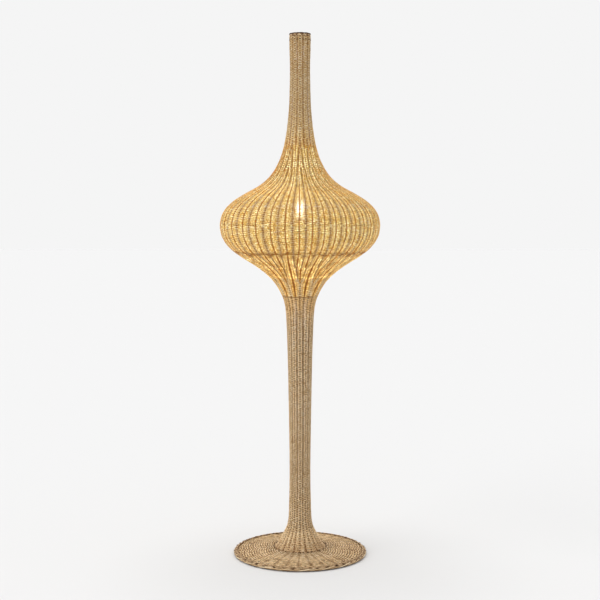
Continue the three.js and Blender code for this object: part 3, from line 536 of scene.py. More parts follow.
# Flutes, shallower just under the waist, and the light of the rows outside the shade
FLUTE_DEPTH, PLAIN_FLUTE_DEPTH, FLUTE_POWER = 1.5 * MM, 2.0 * MM, 2.5
SKIRT_GROOVE, PLAIN_GROOVE, FOOT_GROOVE = 1.6 * MM, 0.7 * MM, 0.35
SKIRT_FOOT, SKIRT_GROOVE_TOP, SKIRT_GROOVE_END = 0.08, 0.10, 0.34
CALM_SHARE, CALM_HEIGHT, CALM_WIDTH = 0.55, 0.865, 45 * MM
FOOT_SHADE, FOOT_SHADE_TOP = 0.4, 0.075
# Painted tint of lamp glow on the column under the waist, and the heights where it starts and is
# full
COLUMN_GLOW_TINT, COLUMN_TINT_START, COLUMN_TINT_FULL = 0.5, 0.79, 0.89


def grooves_at(ring, height):
    """How far the flutes draw each point in: at even stakes, and on the skirt at all stakes."""
    near_skirt = 1 - smoothstep(height, SKIRT_GROOVE_TOP, SKIRT_GROOVE_END)
    above_foot = smoothstep(height, SKIRT_HEIGHT, SKIRT_FOOT)
    near_skirt = near_skirt * (FOOT_GROOVE + (1 - FOOT_GROOVE) * above_foot)
    flute = PLAIN_FLUTE_DEPTH + (FLUTE_DEPTH - PLAIN_FLUTE_DEPTH) * exposure(height)
    flute = flute * (1 - CALM_SHARE * bell(height - CALM_HEIGHT, CALM_WIDTH))
    every = PLAIN_GROOVE + (SKIRT_GROOVE - PLAIN_GROOVE) * near_skirt
    return (flute * (1 - near_skirt) * (1 - ring.share) ** FLUTE_POWER
            + every * (1 - np.sin(math.pi * ring.share)))


def plain_light(height):
    """No glow: only painted shade at the skirt's foot, and painted lamp-glow tint on the column
    under the waist.
    """
    shade = FOOT_SHADE * (1 - smoothstep(height, SKIRT_HEIGHT, FOOT_SHADE_TOP))
    return 0, shade, COLUMN_GLOW_TINT * smoothstep(height, COLUMN_TINT_START, COLUMN_TINT_FULL)


def weave_rows(builder, heights, pitch, lit):
    """One row of weave at each height, of the lit shade or of the column."""
    for height, radius, slope in zip(heights, *outline(heights)):
        bare = exposure(height)
        ring = Ring(next(row_numbers), stake_angles(height), radius, bare,
                    wave_shade=PLAIN_WAVE_SHADE + (BOWL_WAVE_SHADE - PLAIN_WAVE_SHADE) * float(bare),
                    behind_dip=BEHIND_DIP if SKIRT_FOOT < height < BARE_END else NECK_DIP)
        along = math.hypot(1, slope)
        weave_ring(builder, ring, radius, height, (1 / along, -slope / along),
                   (slope / along, 1 / along), HALF_HEIGHT_SHARE * pitch, grooves_at(ring, height),
                   light_of_row(ring, height) if lit else plain_light(height),
                   roll_of_row(height, slope, pitch) if lit else 0)


# Stakes
STAKE_SIDES = 6
COVERED_RADIUS, BARE_RADIUS = 1.25 * MM, 0.9 * MM
COVERED_DEPTH, BARE_DEPTH, THROAT_DEPTH = 3.1 * MM, 0.3 * MM, 1.3 * MM
THROAT_END, THROAT_END_FULL = 1.03, 1.07
EVEN_SINK = 0.6
STAKE_STEP, LEAST_STEPS, TURN_GAP = 8 * MM, 3, 1e-6
STAKE_TONE, STAKE_GLOW = 0.6, 0.9
NECK_STAKE_SHADE = 0.75


def round_section(centre, across, outward, radius):
    """Rings of points round the centres, in the plane of two directions."""
    section = np.arange(STAKE_SIDES)[None, :, None] / STAKE_SIDES * TURN
    radius = np.broadcast_to(radius, len(centre))[:, None, None]
    across, outward = (np.broadcast_to(way, centre.shape)[:, None, :] for way in (across, outward))
    return (centre[:, None, :] + radius * np.cos(section) * across
            + radius * np.sin(section) * outward)


def stake_rods(builder, low, high, picked, shade):
    """The even or odd stakes between two heights: bare ones near the outside, others deeper."""
    turns = [z for z in (low, MERGE_LOW, MERGE_HIGH, FORK_LOW, FORK_HIGH, high) if low <= z <= high]
    for bottom, top in zip(turns[:-1], turns[1:]):
        steps = max(LEAST_STEPS, round((top - bottom) / STAKE_STEP))
        heights = np.linspace(bottom + TURN_GAP, top - TURN_GAP, steps)
        radii, slopes = outline(heights)
        angles = np.array([stake_angles(height) for height in heights])
        along = np.hypot(1, slopes)
        bare = exposure(heights) if picked == 0 else np.zeros_like(heights)
        above_throat = smoothstep(heights, THROAT_END, THROAT_END_FULL)
        bare_depth = THROAT_DEPTH + (BARE_DEPTH - THROAT_DEPTH) * above_throat
        depth = COVERED_DEPTH + (bare_depth - COVERED_DEPTH) * bare
        if picked == 0:
            depth = depth + FLUTE_DEPTH * EVEN_SINK
        radius = COVERED_RADIUS + (BARE_RADIUS - COVERED_RADIUS) * bare
        r = radii - depth / along
        z = heights + depth * slopes / along
        for k in range(picked, angles.shape[1], 2):
            a = angles[:, k]
            centre = np.stack([r * np.cos(a), r * np.sin(a), z], -1)
            across = np.stack([-np.sin(a), np.cos(a), np.zeros_like(a)], -1)
            outward = np.stack([np.cos(a) / along, np.sin(a) / along, -slopes / along], -1)
            rings = round_section(centre, across, outward, radius)
            builder.tube(rings, False, tone=rng.normal(0, STAKE_TONE), cavity=shade,
                         along=(heights - bottom)[:, None], glow=(STAKE_GLOW * bare)[:, None])


# Materials
def feed(tree, made, values):
    """Sets a node's inputs to values, or links them where the value is another node's output."""
    for name, value in values.items():
        if isinstance(value, bpy.types.NodeSocket):
            tree.links.new(value, made.inputs[name])
        else:
            made.inputs[name].default_value = value


def node(tree, kind, inputs, **settings):
    made = tree.nodes.new(kind)
    for name, value in settings.items():
        setattr(made, name, value)
    feed(tree, made, inputs)
    return made


def math_node(tree, operation, *inputs, clamp=False):
    """A Math node whose inputs are sockets or plain numbers; returns its output."""
    values = dict(enumerate(inputs))
    return node(tree, "ShaderNodeMath", values, operation=operation, use_clamp=clamp).outputs[0]


def ramp_node(tree, source, stops):
    """A colour ramp through (position, colour) stops; returns its colour."""
    ramp = node(tree, "ShaderNodeValToRGB", {"Fac": source})
    elements = ramp.color_ramp.elements
    for k, (position, colour) in enumerate(stops):
        element = elements[k] if k < 2 else elements.new(position)
        element.position = position
        element.color = (*colour, 1)
    return ramp.outputs["Color"]


def noise_node(tree, vector, scale, detail):
    inputs = {"Vector": vector, "Scale": scale, "Detail": detail}
    return node(tree, "ShaderNodeTexNoise", inputs).outputs["Fac"]


def map_range(tree, value, end, low, high, **settings):
    """A Map Range node with its From or To values set; returns its output."""
    inputs = {"Value": value, f"{end} Min": low, f"{end} Max": high}
    return node(tree, "ShaderNodeMapRange", inputs, **settings).outputs["Result"]


def height_node(tree, place):
    return node(tree, "ShaderNodeSeparateXYZ", {0: place}).outputs["Z"]


def bump_node(tree, height, strength, distance):
    inputs = {"Height": height, "Strength": strength, "Distance": distance}
    return node(tree, "ShaderNodeBump", inputs).outputs["Normal"]


def attribute_node(tree, label):
    return node(tree, "ShaderNodeAttribute", {}, attribute_name=label).outputs["Fac"]


def object_place(tree):
    return node(tree, "ShaderNodeTexCoord", {}).outputs["Object"]


def tinted(tree, colour, factor, tint):
    """A colour drawn towards its product with a tint, by a factor."""
    inputs = {"Factor": factor, "A": colour, "B": (*tint, 1)}
    mix = node(tree, "ShaderNodeMix", inputs, data_type="RGBA", blend_type="MULTIPLY")
    return mix.outputs["Result"]


def new_material(name):
    material = bpy.data.materials.new(name)
    material.use_nodes = True
    tree = material.node_tree
    return material, tree, tree.nodes["Principled BSDF"]


# Rattan, plain and lit from behind
RATTAN_ROUGHNESS, RATTAN_BUMP, RATTAN_RELIEF = 0.62, 0.35, 0.4 * MM
STAIN_SHARE, STAIN_SCALE, STAIN_DETAIL = 0.12, 40, 4
FIBRE_SHARE, FIBRE_SCALE, FIBRE_DETAIL, FIBRE_STRETCH = 0.25, 90, 3, 14
FLECK_SHARE, FLECK_SCALE, FLECK_DETAIL = 3.2, 360, 1
TONE_SHARE = 0.075
DARK_STOP, MIDDLE_STOP, LIGHT_STOP = 0.1, 0.5, 0.9
# Tints of painted shade in the weave's recesses: plain, lit and cane
SHADE_TINT = (0.38, 0.25, 0.155)
LIT_SHADE_TINT = (0.44, 0.25, 0.11)
CANE_SHADE_TINT = (0.3, 0.17, 0.09)
# Tint of painted lamp glow in the strands' colour
LAMP_GLOW_TINT = (0.84, 0.62, 0.25)
GLOW_STOPS = [(0.0, (1.0, 0.5, 0.06)), (1.0, (0.87, 0.95, 0.58)), (0.25, (0.97, 0.69, 0.13)),
              (0.5, (0.9, 0.84, 0.18)), (0.75, (0.88, 0.92, 0.34))]
STAKE_STOPS = [(0.0, (1.0, 0.28, 0.03)), (1.0, (1.0, 0.4, 0.07))]
THROAT_TINT, TINT_LOW, TINT_HIGH = (1.0, 0.7, 0.42), 0.99, 1.12
GLOW_HUE, NOISE_HUE, STAIN_HUE, LEAST_HUE = 0.35, 2.0, 1.6, 0.15
UNEVEN_GLOW = (0.5, 1.5)


def strand_tone(tree, stains, fibres, fleck_scale, fleck_share, tone_share):
    """Tone from 0 to 1: the strand's own, soft stains, fine fibres, and flecks along the strand."""
    own = attribute_node(tree, "tone")
    strand = node(tree, "ShaderNodeCombineXYZ", {"X": attribute_node(tree, "along"), "Y": own})
    flecks = noise_node(tree, strand.outputs["Vector"], fleck_scale, FLECK_DETAIL)
    middle = 0.5 - (STAIN_SHARE + FIBRE_SHARE + fleck_share) / 2
    tone = math_node(tree, "MULTIPLY_ADD", own, tone_share, middle)
    tone = math_node(tree, "MULTIPLY_ADD", stains, STAIN_SHARE, tone)
    tone = math_node(tree, "MULTIPLY_ADD", fibres, FIBRE_SHARE, tone)
    return math_node(tree, "MULTIPLY_ADD", flecks, fleck_share, tone, clamp=True)


def light_from_behind(tree, shader, place, stains, tone, strength, stops):
    """Emission by the strand's glow, in a hue that follows the glow, the stains and the tone."""
    glow = attribute_node(tree, "glow")
    hue = math_node(tree, "MULTIPLY_ADD", glow, GLOW_HUE, LEAST_HUE - (NOISE_HUE + STAIN_HUE) / 2)
    hue = math_node(tree, "MULTIPLY_ADD", stains, STAIN_HUE, hue)
    hue = math_node(tree, "MULTIPLY_ADD", tone, NOISE_HUE, hue, clamp=True)
    near_throat = map_range(tree, height_node(tree, place), "From", TINT_HIGH, TINT_LOW)
    colour = tinted(tree, ramp_node(tree, hue, stops), near_throat, THROAT_TINT)
    level = math_node(tree, "MULTIPLY", glow, strength)
    level = math_node(tree, "MULTIPLY", level, map_range(tree, tone, "To", *UNEVEN_GLOW))
    feed(tree, shader, {"Emission Color": colour, "Emission Strength": level})


def rattan_material(name, dark, middle, light, glow_strength=0.0, glow_stops=GLOW_STOPS, shine=0.12,
                    fleck_scale=FLECK_SCALE, fleck_share=FLECK_SHARE, tone_share=TONE_SHARE,
                    shade_in_hollows=SHADE_TINT):
    """Rattan core or cane in three tones, tinted by painted lamp glow and darkened by painted
    shade, both from the weave's attributes.
    """
    material, tree, shader = new_material(name)
    place = object_place(tree)
    stains = noise_node(tree, place, STAIN_SCALE, STAIN_DETAIL)
    stretch = node(tree, "ShaderNodeMapping", {"Vector": place, "Scale": (1, 1, FIBRE_STRETCH)})
    fibres = noise_node(tree, stretch.outputs["Vector"], FIBRE_SCALE, FIBRE_DETAIL)
    tone = strand_tone(tree, stains, fibres, fleck_scale, fleck_share, tone_share)
    stops = [(DARK_STOP, dark), (LIGHT_STOP, light), (MIDDLE_STOP, middle)]
    # Painted lamp glow: the colour drawn towards a warm tint where the bulb lights the weave
    colour = tinted(tree, ramp_node(tree, tone, stops), attribute_node(tree, "warm"), LAMP_GLOW_TINT)
    # Painted shade: the colour drawn towards a dark tint where the weave lies deep or in shadow
    colour = tinted(tree, colour, attribute_node(tree, "cavity"), shade_in_hollows)
    bump = bump_node(tree, fibres, RATTAN_BUMP, RATTAN_RELIEF)
    feed(tree, shader, {"Base Color": colour, "Normal": bump, "Roughness": RATTAN_ROUGHNESS,
                        "Specular IOR Level": shine})
    if glow_strength:
        light_from_behind(tree, shader, place, stains, tone, glow_strength, glow_stops)
    return material


RATTAN = rattan_material("rattan", (0.52, 0.33, 0.16), (0.88, 0.63, 0.345), (1.0, 0.84, 0.57))
LIT_RATTAN = rattan_material(
    "lit_rattan", (0.6, 0.375, 0.15), (0.84, 0.62, 0.305), (0.93, 0.8, 0.545),
    glow_strength=0.26, shine=0.22, shade_in_hollows=LIT_SHADE_TINT)
DISC_RATTAN = rattan_material(
    "disc_rattan", (0.42, 0.275, 0.14), (0.83, 0.61, 0.345), (1.0, 0.81, 0.55),
    fleck_scale=90, fleck_share=1.4, tone_share=0.12)
# Stakes in their own darker brown, deepened further as painted shade for the gaps where they show
# between weavers
SHADED_STAKE_RATTAN = rattan_material(
    "shaded_stake_rattan", (0.1, 0.045, 0.02), (0.18, 0.085, 0.035), (0.3, 0.17, 0.08))
LIT_STAKE = rattan_material(
    "lit_stake", (0.17, 0.05, 0.012), (0.33, 0.11, 0.025), (0.5, 0.2, 0.06),
    glow_strength=0.25, glow_stops=STAKE_STOPS)
# Near-black rattan for stake ends: painted shadow in the gaps of the skirt, borders and top edge
SHADOW_DASH_RATTAN = rattan_material(
    "shadow_dash_rattan", (0.045, 0.02, 0.009), (0.085, 0.04, 0.017), (0.2, 0.11, 0.05),
    fleck_scale=150, tone_share=0.3)
CANE = rattan_material(
    "cane", (0.34, 0.2, 0.09), (0.66, 0.47, 0.26), (0.88, 0.7, 0.45),
    shine=0.35, fleck_scale=120, fleck_share=0.7, tone_share=0.3, shade_in_hollows=CANE_SHADE_TINT)

# Steel, plastic, ceramic, brass and the bulb
PEEL_SCALE, PEEL_DETAIL, PEEL_BUMP, PEEL_RELIEF = 400.0, 5, 0.15, 0.3 * MM
ROUGHNESS_CHANGE = 0.08
LAMP_LIGHT = (1.0, 0.97, 0.92, 1)
LIT_LOW, LIT_LOW_FULL, LIT_HIGH_FULL, LIT_HIGH = 1.164, 1.186, 1.236, 1.250


def plain_material(name, colour, roughness, metallic=0.0, speckle=0.25):
    """A painted, plated or moulded surface with a fine orange-peel and small changes of tone."""
    material, tree, shader = new_material(name)
    noise = noise_node(tree, object_place(tree), PEEL_SCALE, PEEL_DETAIL)
    low = [c * (1 - speckle) for c in colour]
    high = [min(1, c * (1 + speckle)) for c in colour]
    smooth, rough = max(0, roughness - ROUGHNESS_CHANGE), min(1, roughness + ROUGHNESS_CHANGE)
    feed(tree, shader, {"Base Color": ramp_node(tree, noise, [(0.0, low), (1.0, high)]),
                        "Metallic": metallic,
                        "Roughness": map_range(tree, noise, "To", smooth, rough),
                        "Normal": bump_node(tree, noise, PEEL_BUMP, PEEL_RELIEF)})
    return material


def lit_material(name, colour, strength, floor_share, alpha=1.0):
    """A surface that gives light, strongest along the middle of the bulb, soft at its ends."""
    material = plain_material(name, colour, roughness=0.3, speckle=0.02)
    tree = material.node_tree
    height = height_node(tree, object_place(tree))
    ends = [map_range(tree, height, "From", dark, full, interpolation_type="SMOOTHSTEP")
            for dark, full in ((LIT_LOW, LIT_LOW_FULL), (LIT_HIGH, LIT_HIGH_FULL))]
    middle = math_node(tree, "MULTIPLY", *ends)
    least = floor_share * strength
    level = math_node(tree, "MULTIPLY_ADD", middle, strength - least, least)
    feed(tree, tree.nodes["Principled BSDF"],
         {"Emission Color": LAMP_LIGHT, "Emission Strength": level, "Alpha": alpha})
    return material


NODE_MATERIALS = {
    "black_steel": plain_material("black_steel", (0.035, 0.032, 0.03), 0.5),
    "zinc_steel": plain_material("zinc_steel", (0.6, 0.6, 0.58), 0.35, metallic=1.0),
    "rubber": plain_material("rubber", (0.03, 0.03, 0.03), 0.8),
    "holder_plastic": plain_material("holder_plastic", (0.035, 0.032, 0.03), 0.4),
    "ceramic": plain_material("ceramic", (0.85, 0.82, 0.76), 0.3, speckle=0.04),
    "brass": plain_material("brass", (0.78, 0.58, 0.28), 0.3, metallic=1.0, speckle=0.1),
    "opal_glass": lit_material("opal_glass", (1.0, 0.97, 0.9), 1.0, 0.1, alpha=0.3),
    "lit_phosphor": lit_material("lit_phosphor", (1.0, 0.93, 0.78), 8.0, 0.02),
    "rattan": RATTAN,
    "lit_rattan": LIT_RATTAN,
    "cane": CANE,
}
for entry in frame["record"]["subparts"]:
    part = frame["nodes"][entry["node"]]
    part.data.materials.clear()
    part.data.materials.append(NODE_MATERIALS[entry["material_slot"]])

# The weave, stretch by stretch
COLUMN_ROWS, SHADE_ROWS, NECK_ROWS = 95, 31, 100
SEAM_GAP, STAKE_GAP = 0.15 * MM, 1 * MM


def woven_pieces(label, replaced, low, high, pitch, most_rows, lit):
    """Weaves the rows between two heights, in pieces of at most so many rows."""
    body, material, slot = (("shade", LIT_RATTAN, "lit_rattan") if lit
                            else ("stand", RATTAN, "rattan"))
    heights = stations_along(low, high, pitch)
    count = math.ceil(len(heights) / most_rows)
    for k, share in enumerate(np.array_split(heights, count)):
        builder = Builder()
        weave_rows(builder, share, pitch, lit)
        name = f"{label}_weavers_{k + 1}" if count > 1 else f"{label}_weavers"
        builder.finish(name, body, material, replaced, slot)


# Label, node, low, high, pitch, most rows to a piece, and whether it is lit
STRETCHES = (
    ("column", "column_weave", SKIRT_HEIGHT, WAIST - SEAM_GAP, PLAIN_PITCH, COLUMN_ROWS, False),
    ("throat", "shade_throat_weave", WAIST + SEAM_GAP, LOWER_HOOP, BOWL_PITCH, SHADE_ROWS, True),
    ("lower", "shade_lower_weave", LOWER_HOOP, EQUATOR, BOWL_PITCH, SHADE_ROWS, True),
    ("upper", "shade_upper_weave", EQUATOR, FORK, BOWL_PITCH, SHADE_ROWS, True),
    ("neck", "neck_weave", FORK, NECK_TOP, PLAIN_PITCH, NECK_ROWS, True),
)
for stretch in STRETCHES:
    woven_pieces(*stretch)

# Piece, body, node, material, low, high and shade
STAKE_STRETCHES = (
    ("column_stakes", "stand", "column_weave", SHADED_STAKE_RATTAN,
     SKIRT_HEIGHT + STAKE_GAP, WAIST - STAKE_GAP, 0),
    ("shade_stakes", "shade", "shade_throat_weave", LIT_STAKE, WAIST + STAKE_GAP, BARE_END, 0),
    ("neck_stakes", "shade", "neck_weave", RATTAN, BARE_END, NECK_TOP, NECK_STAKE_SHADE),
)
for picked, label in enumerate(("even", "odd")):
    for name, body, replaced, material, low, high, shade in STAKE_STRETCHES:
        rods = Builder()
        stake_rods(rods, low, high, picked, shade)
        rods.finish(f"{name}_{label}", body, material, replaced, "rattan")

# Foot disc
BORDER_THICKNESS, RIM_FLOOR_GAP = 13 * MM, 1.5 * MM
BORDER_OUTSIDE, BORDER_RISE = 0.88, 1.5 * MM
# Disc stakes, their turn, and painted shade where the disc's rows pass behind them
DISC_STAKES, DISC_TURN, DISC_WAVE_SHADE = 60, -SECTOR / 20, 0.1
DISC_START = SKIRT_RADIUS - 1 * MM
DISC_EDGE = RIM_RADIUS - BORDER_THICKNESS * BORDER_OUTSIDE
DISC_EDGE_HEIGHT = RIM_FLOOR_GAP + BORDER_THICKNESS - BORDER_RISE
CROWN = [(0.0, 1.0), (0.34, 0.72), (0.7, 0.34), (1.0, 0.0)]
PANEL_GROOVE, PANEL_POWER, PANEL_CROWN = 2.2 * MM, 6, 0.4 * MM
SLOPE_STEP = 1 * MM
SPOKE_START, SPOKE_STEPS = SKIRT_RADIUS - 4 * MM, 24


def disc_top(radius):
    """Height of the disc's top at a radius, on its crowned way from the skirt down to the rim."""
    share = np.clip((radius - SKIRT_RADIUS) / (DISC_EDGE - SKIRT_RADIUS), 0, 1)
    rise = np.interp(share, [s for s, _ in CROWN], [h for _, h in CROWN])
    return DISC_EDGE_HEIGHT + rise * (SKIRT_HEIGHT - DISC_EDGE_HEIGHT)


def disc_stakes():
    regular = FRONT + DISC_TURN + TURN * np.arange(DISC_STAKES) / DISC_STAKES
    return regular + wander(regular, 0, WANDER_SHARE * TURN / DISC_STAKES)


def disc_weavers(stakes):
    """The round rows of the disc, from under the skirt out to its edge."""
    builder = Builder()
    for radius in np.arange(DISC_START, DISC_EDGE, DISC_PITCH):
        slope = (disc_top(radius + SLOPE_STEP) - disc_top(radius - SLOPE_STEP)) / (2 * SLOPE_STEP)
        along = math.hypot(1, slope)
        ring = Ring(next(row_numbers), stakes, radius, 0, even_wave=1.0, wave_shade=DISC_WAVE_SHADE)
        grooves = (PANEL_GROOVE * (1 - ring.share) ** PANEL_POWER
                   + PANEL_CROWN * (1 - np.sin(math.pi * ring.share)))
        weave_ring(builder, ring, radius, disc_top(radius), (-slope / along, 1 / along),
                   (-1 / along, -slope / along), HALF_HEIGHT_SHARE * DISC_PITCH, grooves)
    return builder


def disc_spokes(stakes):
    """The stakes within the disc, the even ones sunk under its grooves."""
    builder = Builder()
    r = np.linspace(SPOKE_START, DISC_EDGE, SPOKE_STEPS)
    for k, angle in enumerate(stakes):
        z = disc_top(r) - COVERED_DEPTH - (PANEL_GROOVE * EVEN_SINK if k % 2 == 0 else 0)
        centre = np.stack([r * math.cos(angle), r * math.sin(angle), z], -1)
        across = [-math.sin(angle), math.cos(angle), 0.0]
        rings = round_section(centre, across, UP, COVERED_RADIUS)
        builder.tube(rings[:, ::-1], False, tone=rng.normal(0, STAKE_TONE), along=r[:, None])
    return builder


foot_angles = disc_stakes()
disc_weavers(foot_angles).finish("foot_weavers", "stand", DISC_RATTAN, "foot_weave", "rattan")
disc_spokes(foot_angles).finish("foot_stakes", "stand", SHADED_STAKE_RATTAN, "foot_weave", "rattan")

# Plaited borders, twined seams, and beside them stake ends drawn near black as painted shadow
PLAIT_STEPS, RODS_PER_STRAND, ROD_SPACING = 26, 2, 1.9
# Depths over which painted shade grows on plaits and ropes, and where the plait's shaded edge
# begins
PLAIT_SHADE_LOW, PLAIT_SHADE_HIGH, DARK_EDGE, PLAIT_TONE = -0.12, 0.28, 0.2, 1.0
ROPE_STRANDS, ROPE_SHADE_LOW, ROPE_SHADE_HIGH, ROPE_TONE = 2, -0.2, 0.8, 0.6
CORE_STEPS, CORE_SHADE = 180, 0.6
DASH_SHIFT, DASH_LENGTHS, DASH_WIDTHS, DASH_TONE = 0.25, (0.7, 1.2), (0.6, 1), 1.0
DASH_TAPER = np.array([0.35, 0.8, 1, 1, 0.8, 0.35])


def outward_at(angle):
    return np.stack([np.cos(angle), np.sin(angle), np.zeros_like(angle)], -1)


def steps_round(waves):
    """Shares of the way round the axis, in PLAIT_STEPS to a wave."""
    return np.arange(waves * PLAIT_STEPS) / (waves * PLAIT_STEPS)


def across_path(middle, beside):
    """Unit vectors across a closed path: one square to beside, and one square to both."""
    ahead = np.roll(middle, -1, 0) - np.roll(middle, 1, 0)
    ahead /= np.linalg.norm(ahead, axis=1)[:, None]
    flat = np.cross(beside, ahead)
    flat /= np.linalg.norm(flat, axis=1)[:, None]
    return flat, np.cross(ahead, flat)


def plait(radius, height, width, depth, waves, rod_radius, facing, strands=3, twisted=False,
          edge_shade=0.0):
    """A flat plait or twist of paired rods round the axis, its face turned up by an angle."""
    builder = Builder()
    turns = steps_round(waves)
    outward = outward_at(FRONT + TURN * turns)
    face = math.cos(facing) * outward + math.sin(facing) * UP
    side = -math.sin(facing) * outward + math.cos(facing) * UP
    reach = width / 2 - RODS_PER_STRAND * rod_radius
    for k in range(strands):
        phase = TURN * (waves * turns + k / strands)
        across = reach * np.sin(phase)
        lift = (depth / 2 - rod_radius) * (np.cos(phase) if twisted else np.sin(2 * phase))
        middle = radius * outward + height * UP + across[:, None] * side + lift[:, None] * face
        flat, top = across_path(middle, face)
        # Painted shade: darker where a strand lies deep in the plait, and towards one edge
        shade_in_hollows = np.maximum(smoothstep(-lift, PLAIT_SHADE_LOW * depth, PLAIT_SHADE_HIGH * depth),
                            edge_shade * smoothstep(across, DARK_EDGE * reach, reach))
        for pair in range(RODS_PER_STRAND):
            offset = (pair - (RODS_PER_STRAND - 1) / 2) * ROD_SPACING * rod_radius
            rings = round_section(middle + offset * flat, flat, top, rod_radius)
            builder.tube(rings, True, tone=rng.normal(0, PLAIT_TONE), cavity=shade_in_hollows[:, None],
                         along=(turns * TURN * radius)[:, None])
    return builder


def rope(radius, height, thickness, waves):
    """Two strands twisted round one another in a ring: pair twining seen along a seam."""
    builder = Builder()
    turns = steps_round(waves)
    outward = outward_at(FRONT + TURN * turns)
    rod_radius = thickness / 4
    for k in range(ROPE_STRANDS):
        phase = TURN * (waves * turns + k / ROPE_STRANDS)
        middle = (radius + rod_radius * np.cos(phase))[:, None] * outward
        middle = middle + (height + rod_radius * np.sin(phase))[:, None] * UP
        rings = round_section(middle, *across_path(middle, outward), rod_radius)
        # Painted shade on the inner side of each twisted strand
        shade_in_hollows = smoothstep(-np.cos(phase), ROPE_SHADE_LOW, ROPE_SHADE_HIGH)
        builder.tube(rings, True, tone=rng.normal(0, ROPE_TONE), cavity=shade_in_hollows[:, None],
                     along=(turns * TURN * radius)[:, None])
    return builder


def core_ring(radius, height, thickness):
    """The dark ring of stake ends that a plait is worked round."""
    builder = Builder()
    angle = FRONT + TURN * np.arange(CORE_STEPS) / CORE_STEPS
    outward = outward_at(angle)
    rings = round_section(radius * outward + height * UP, outward, UP, thickness / 2)
    builder.tube(rings, True, cavity=CORE_SHADE, along=(angle * radius)[:, None])
    return builder


def dashes(radius, height, count, length, thickness):
    """Short ends of stakes in a ring round the axis, drawn near black as painted shadow in the gaps
    around them.
    """
    builder = Builder()
    shifts = rng.uniform(-DASH_SHIFT, DASH_SHIFT, count)
    for middle in FRONT + TURN * (np.arange(count) + shifts) / count:
        reach = length * rng.uniform(*DASH_LENGTHS) / radius
        angle = middle + np.linspace(-0.5, 0.5, len(DASH_TAPER)) * reach
        outward = outward_at(angle)
        ends = thickness / 2 * rng.uniform(*DASH_WIDTHS) * DASH_TAPER
        rings = round_section(radius * outward + height * UP, outward, UP, ends)
        builder.tube(rings, False, tone=rng.normal(0, DASH_TONE), along=(angle * radius)[:, None])
    return builder


RIM_CENTRE = RIM_RADIUS - BORDER_THICKNESS / 2
RIM_MIDDLE = RIM_FLOOR_GAP + BORDER_THICKNESS / 2
TOP_MIDDLE = LAMP_TOP - TOP_BORDER_THICKNESS / 2

plait(RIM_CENTRE, RIM_MIDDLE, width=BORDER_THICKNESS, depth=9 * MM, waves=10, rod_radius=1.75 * MM,
      facing=math.radians(50), strands=4, twisted=True, edge_shade=0.35).finish(
          "rim_plait", "stand", CANE, "rim_border", "cane")
rope(DISC_EDGE - 1 * MM, DISC_EDGE_HEIGHT + 1 * MM, thickness=4.6 * MM, waves=26).finish(
    "rim_twist", "stand", CANE, "rim_border", "cane")
rope(SKIRT_RADIUS - 0.5 * MM, SKIRT_HEIGHT - 0.5 * MM, thickness=4 * MM, waves=23).finish(
    "skirt_twist", "stand", CANE, "foot_weave", "rattan")
plait(NECK_TOP_RADIUS - 4.4 * MM, TOP_MIDDLE, width=TOP_BORDER_THICKNESS, depth=7 * MM, waves=4,
      rod_radius=1.6 * MM, facing=math.radians(15), edge_shade=1.0).finish(
          "top_plait", "shade", CANE, "top_border", "cane")
core_ring(RIM_CENTRE, RIM_MIDDLE, thickness=8 * MM).finish(
    "rim_core", "stand", SHADED_STAKE_RATTAN, "rim_border", "rattan")
core_ring(NECK_TOP_RADIUS - 4.6 * MM, TOP_MIDDLE, thickness=6 * MM).finish(
    "top_core", "shade", SHADED_STAKE_RATTAN, "top_border", "rattan")
# Piece, body, node, radius, height, count, length and thickness of each ring of dashes
DASHES = (
    ("skirt_dashes", "stand", "foot_weave",
     SKIRT_RADIUS + 3.6 * MM, SKIRT_HEIGHT + 2.3 * MM, 44, 8.5 * MM, 4.1 * MM),
    ("rim_dashes", "stand", "foot_weave",
     DISC_EDGE - 4 * MM, DISC_EDGE_HEIGHT + 1.2 * MM, 80, 7.5 * MM, 3.3 * MM),
    ("edge_dashes_low", "stand", "rim_border",
     RIM_CENTRE + 4.3 * MM, RIM_MIDDLE + 3.2 * MM, 46, 12 * MM, 2.9 * MM),
    ("edge_dashes_high", "stand", "rim_border",
     RIM_CENTRE - 0.3 * MM, RIM_MIDDLE + 5.2 * MM, 46, 12 * MM, 2.9 * MM),
    ("top_dashes", "shade", "top_border",
     NECK_TOP_RADIUS - 1 * MM, LAMP_TOP - 23 * MM, 20, 5 * MM, 3.4 * MM),
    ("top_ends", "shade", "top_border",
     NECK_TOP_RADIUS - 2.6 * MM, LAMP_TOP - 2 * MM, 10, 19 * MM, 3.8 * MM),
)
for name, body, replaced, *sizes in DASHES:
    dashes(*sizes).finish(name, body, SHADOW_DASH_RATTAN, replaced, "rattan")
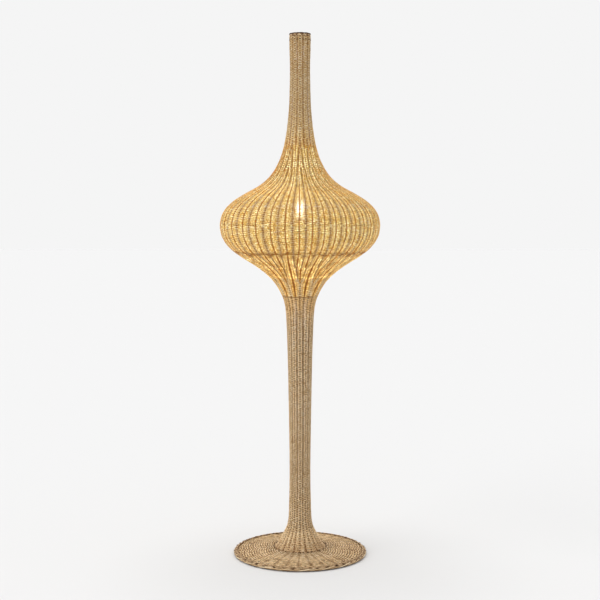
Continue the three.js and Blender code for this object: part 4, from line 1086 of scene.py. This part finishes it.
core_ring(NECK_TOP_RADIUS - 2.2 * MM, LAMP_TOP - 2.9 * MM, thickness=4 * MM).finish(
    "top_edge", "shade", SHADOW_DASH_RATTAN, "top_border", "rattan")

# Floor, backdrop and light
BACKGROUND = 0.913
FLOOR_COLOUR = 0.713
FLOOR_HALF = 30
FLOOR_DROP = 0.2 * MM
AMBIENT = 0.77
SUN_SPREAD = math.radians(50)
SUNS = {"key": ((-0.8, -0.4, 0.45), 0.95), "top": ((-0.05, 0.22, 1), 1.25)}


def floor():
    data = bpy.data.meshes.new("floor")
    corners = [(x * FLOOR_HALF, y * FLOOR_HALF, 0) for x, y in ((-1, -1), (1, -1), (1, 1), (-1, 1))]
    data.from_pydata(corners, [], [(0, 1, 2, 3)])
    plane = bpy.data.objects.new("floor", data)
    plane.location.z = -FLOOR_DROP
    bpy.context.scene.collection.objects.link(plane)
    material, tree, shader = new_material("floor")
    colour = (FLOOR_COLOUR, FLOOR_COLOUR, FLOOR_COLOUR, 1)
    feed(tree, shader, {"Base Color": colour, "Roughness": 1, "Specular IOR Level": 0})
    data.materials.append(material)


def studio():
    """Two soft suns, and a world that is paler to the camera than the light it gives."""
    world = bpy.data.worlds.new("studio")
    bpy.context.scene.world = world
    world.use_nodes = True
    tree = world.node_tree
    path = node(tree, "ShaderNodeLightPath", {})
    total = math_node(tree, "ADD", path.outputs["Is Camera Ray"], path.outputs["Is Glossy Ray"])
    seen = math_node(tree, "ADD", total, path.outputs["Is Transmission Ray"], clamp=True)
    strength = map_range(tree, seen, "To", AMBIENT, BACKGROUND)
    feed(tree, tree.nodes["Background"], {"Color": (1, 1, 1, 1), "Strength": strength})
    for name, (place, energy) in SUNS.items():
        data = bpy.data.lights.new(name, "SUN")
        data.energy = energy
        data.angle = SUN_SPREAD
        sun = bpy.data.objects.new(name, data)
        sun.rotation_euler = Vector(place).to_track_quat("Z", "Y").to_euler()
        bpy.context.scene.collection.objects.link(sun)


floor()
studio()
bpy.context.scene.view_settings.view_transform = "Standard"
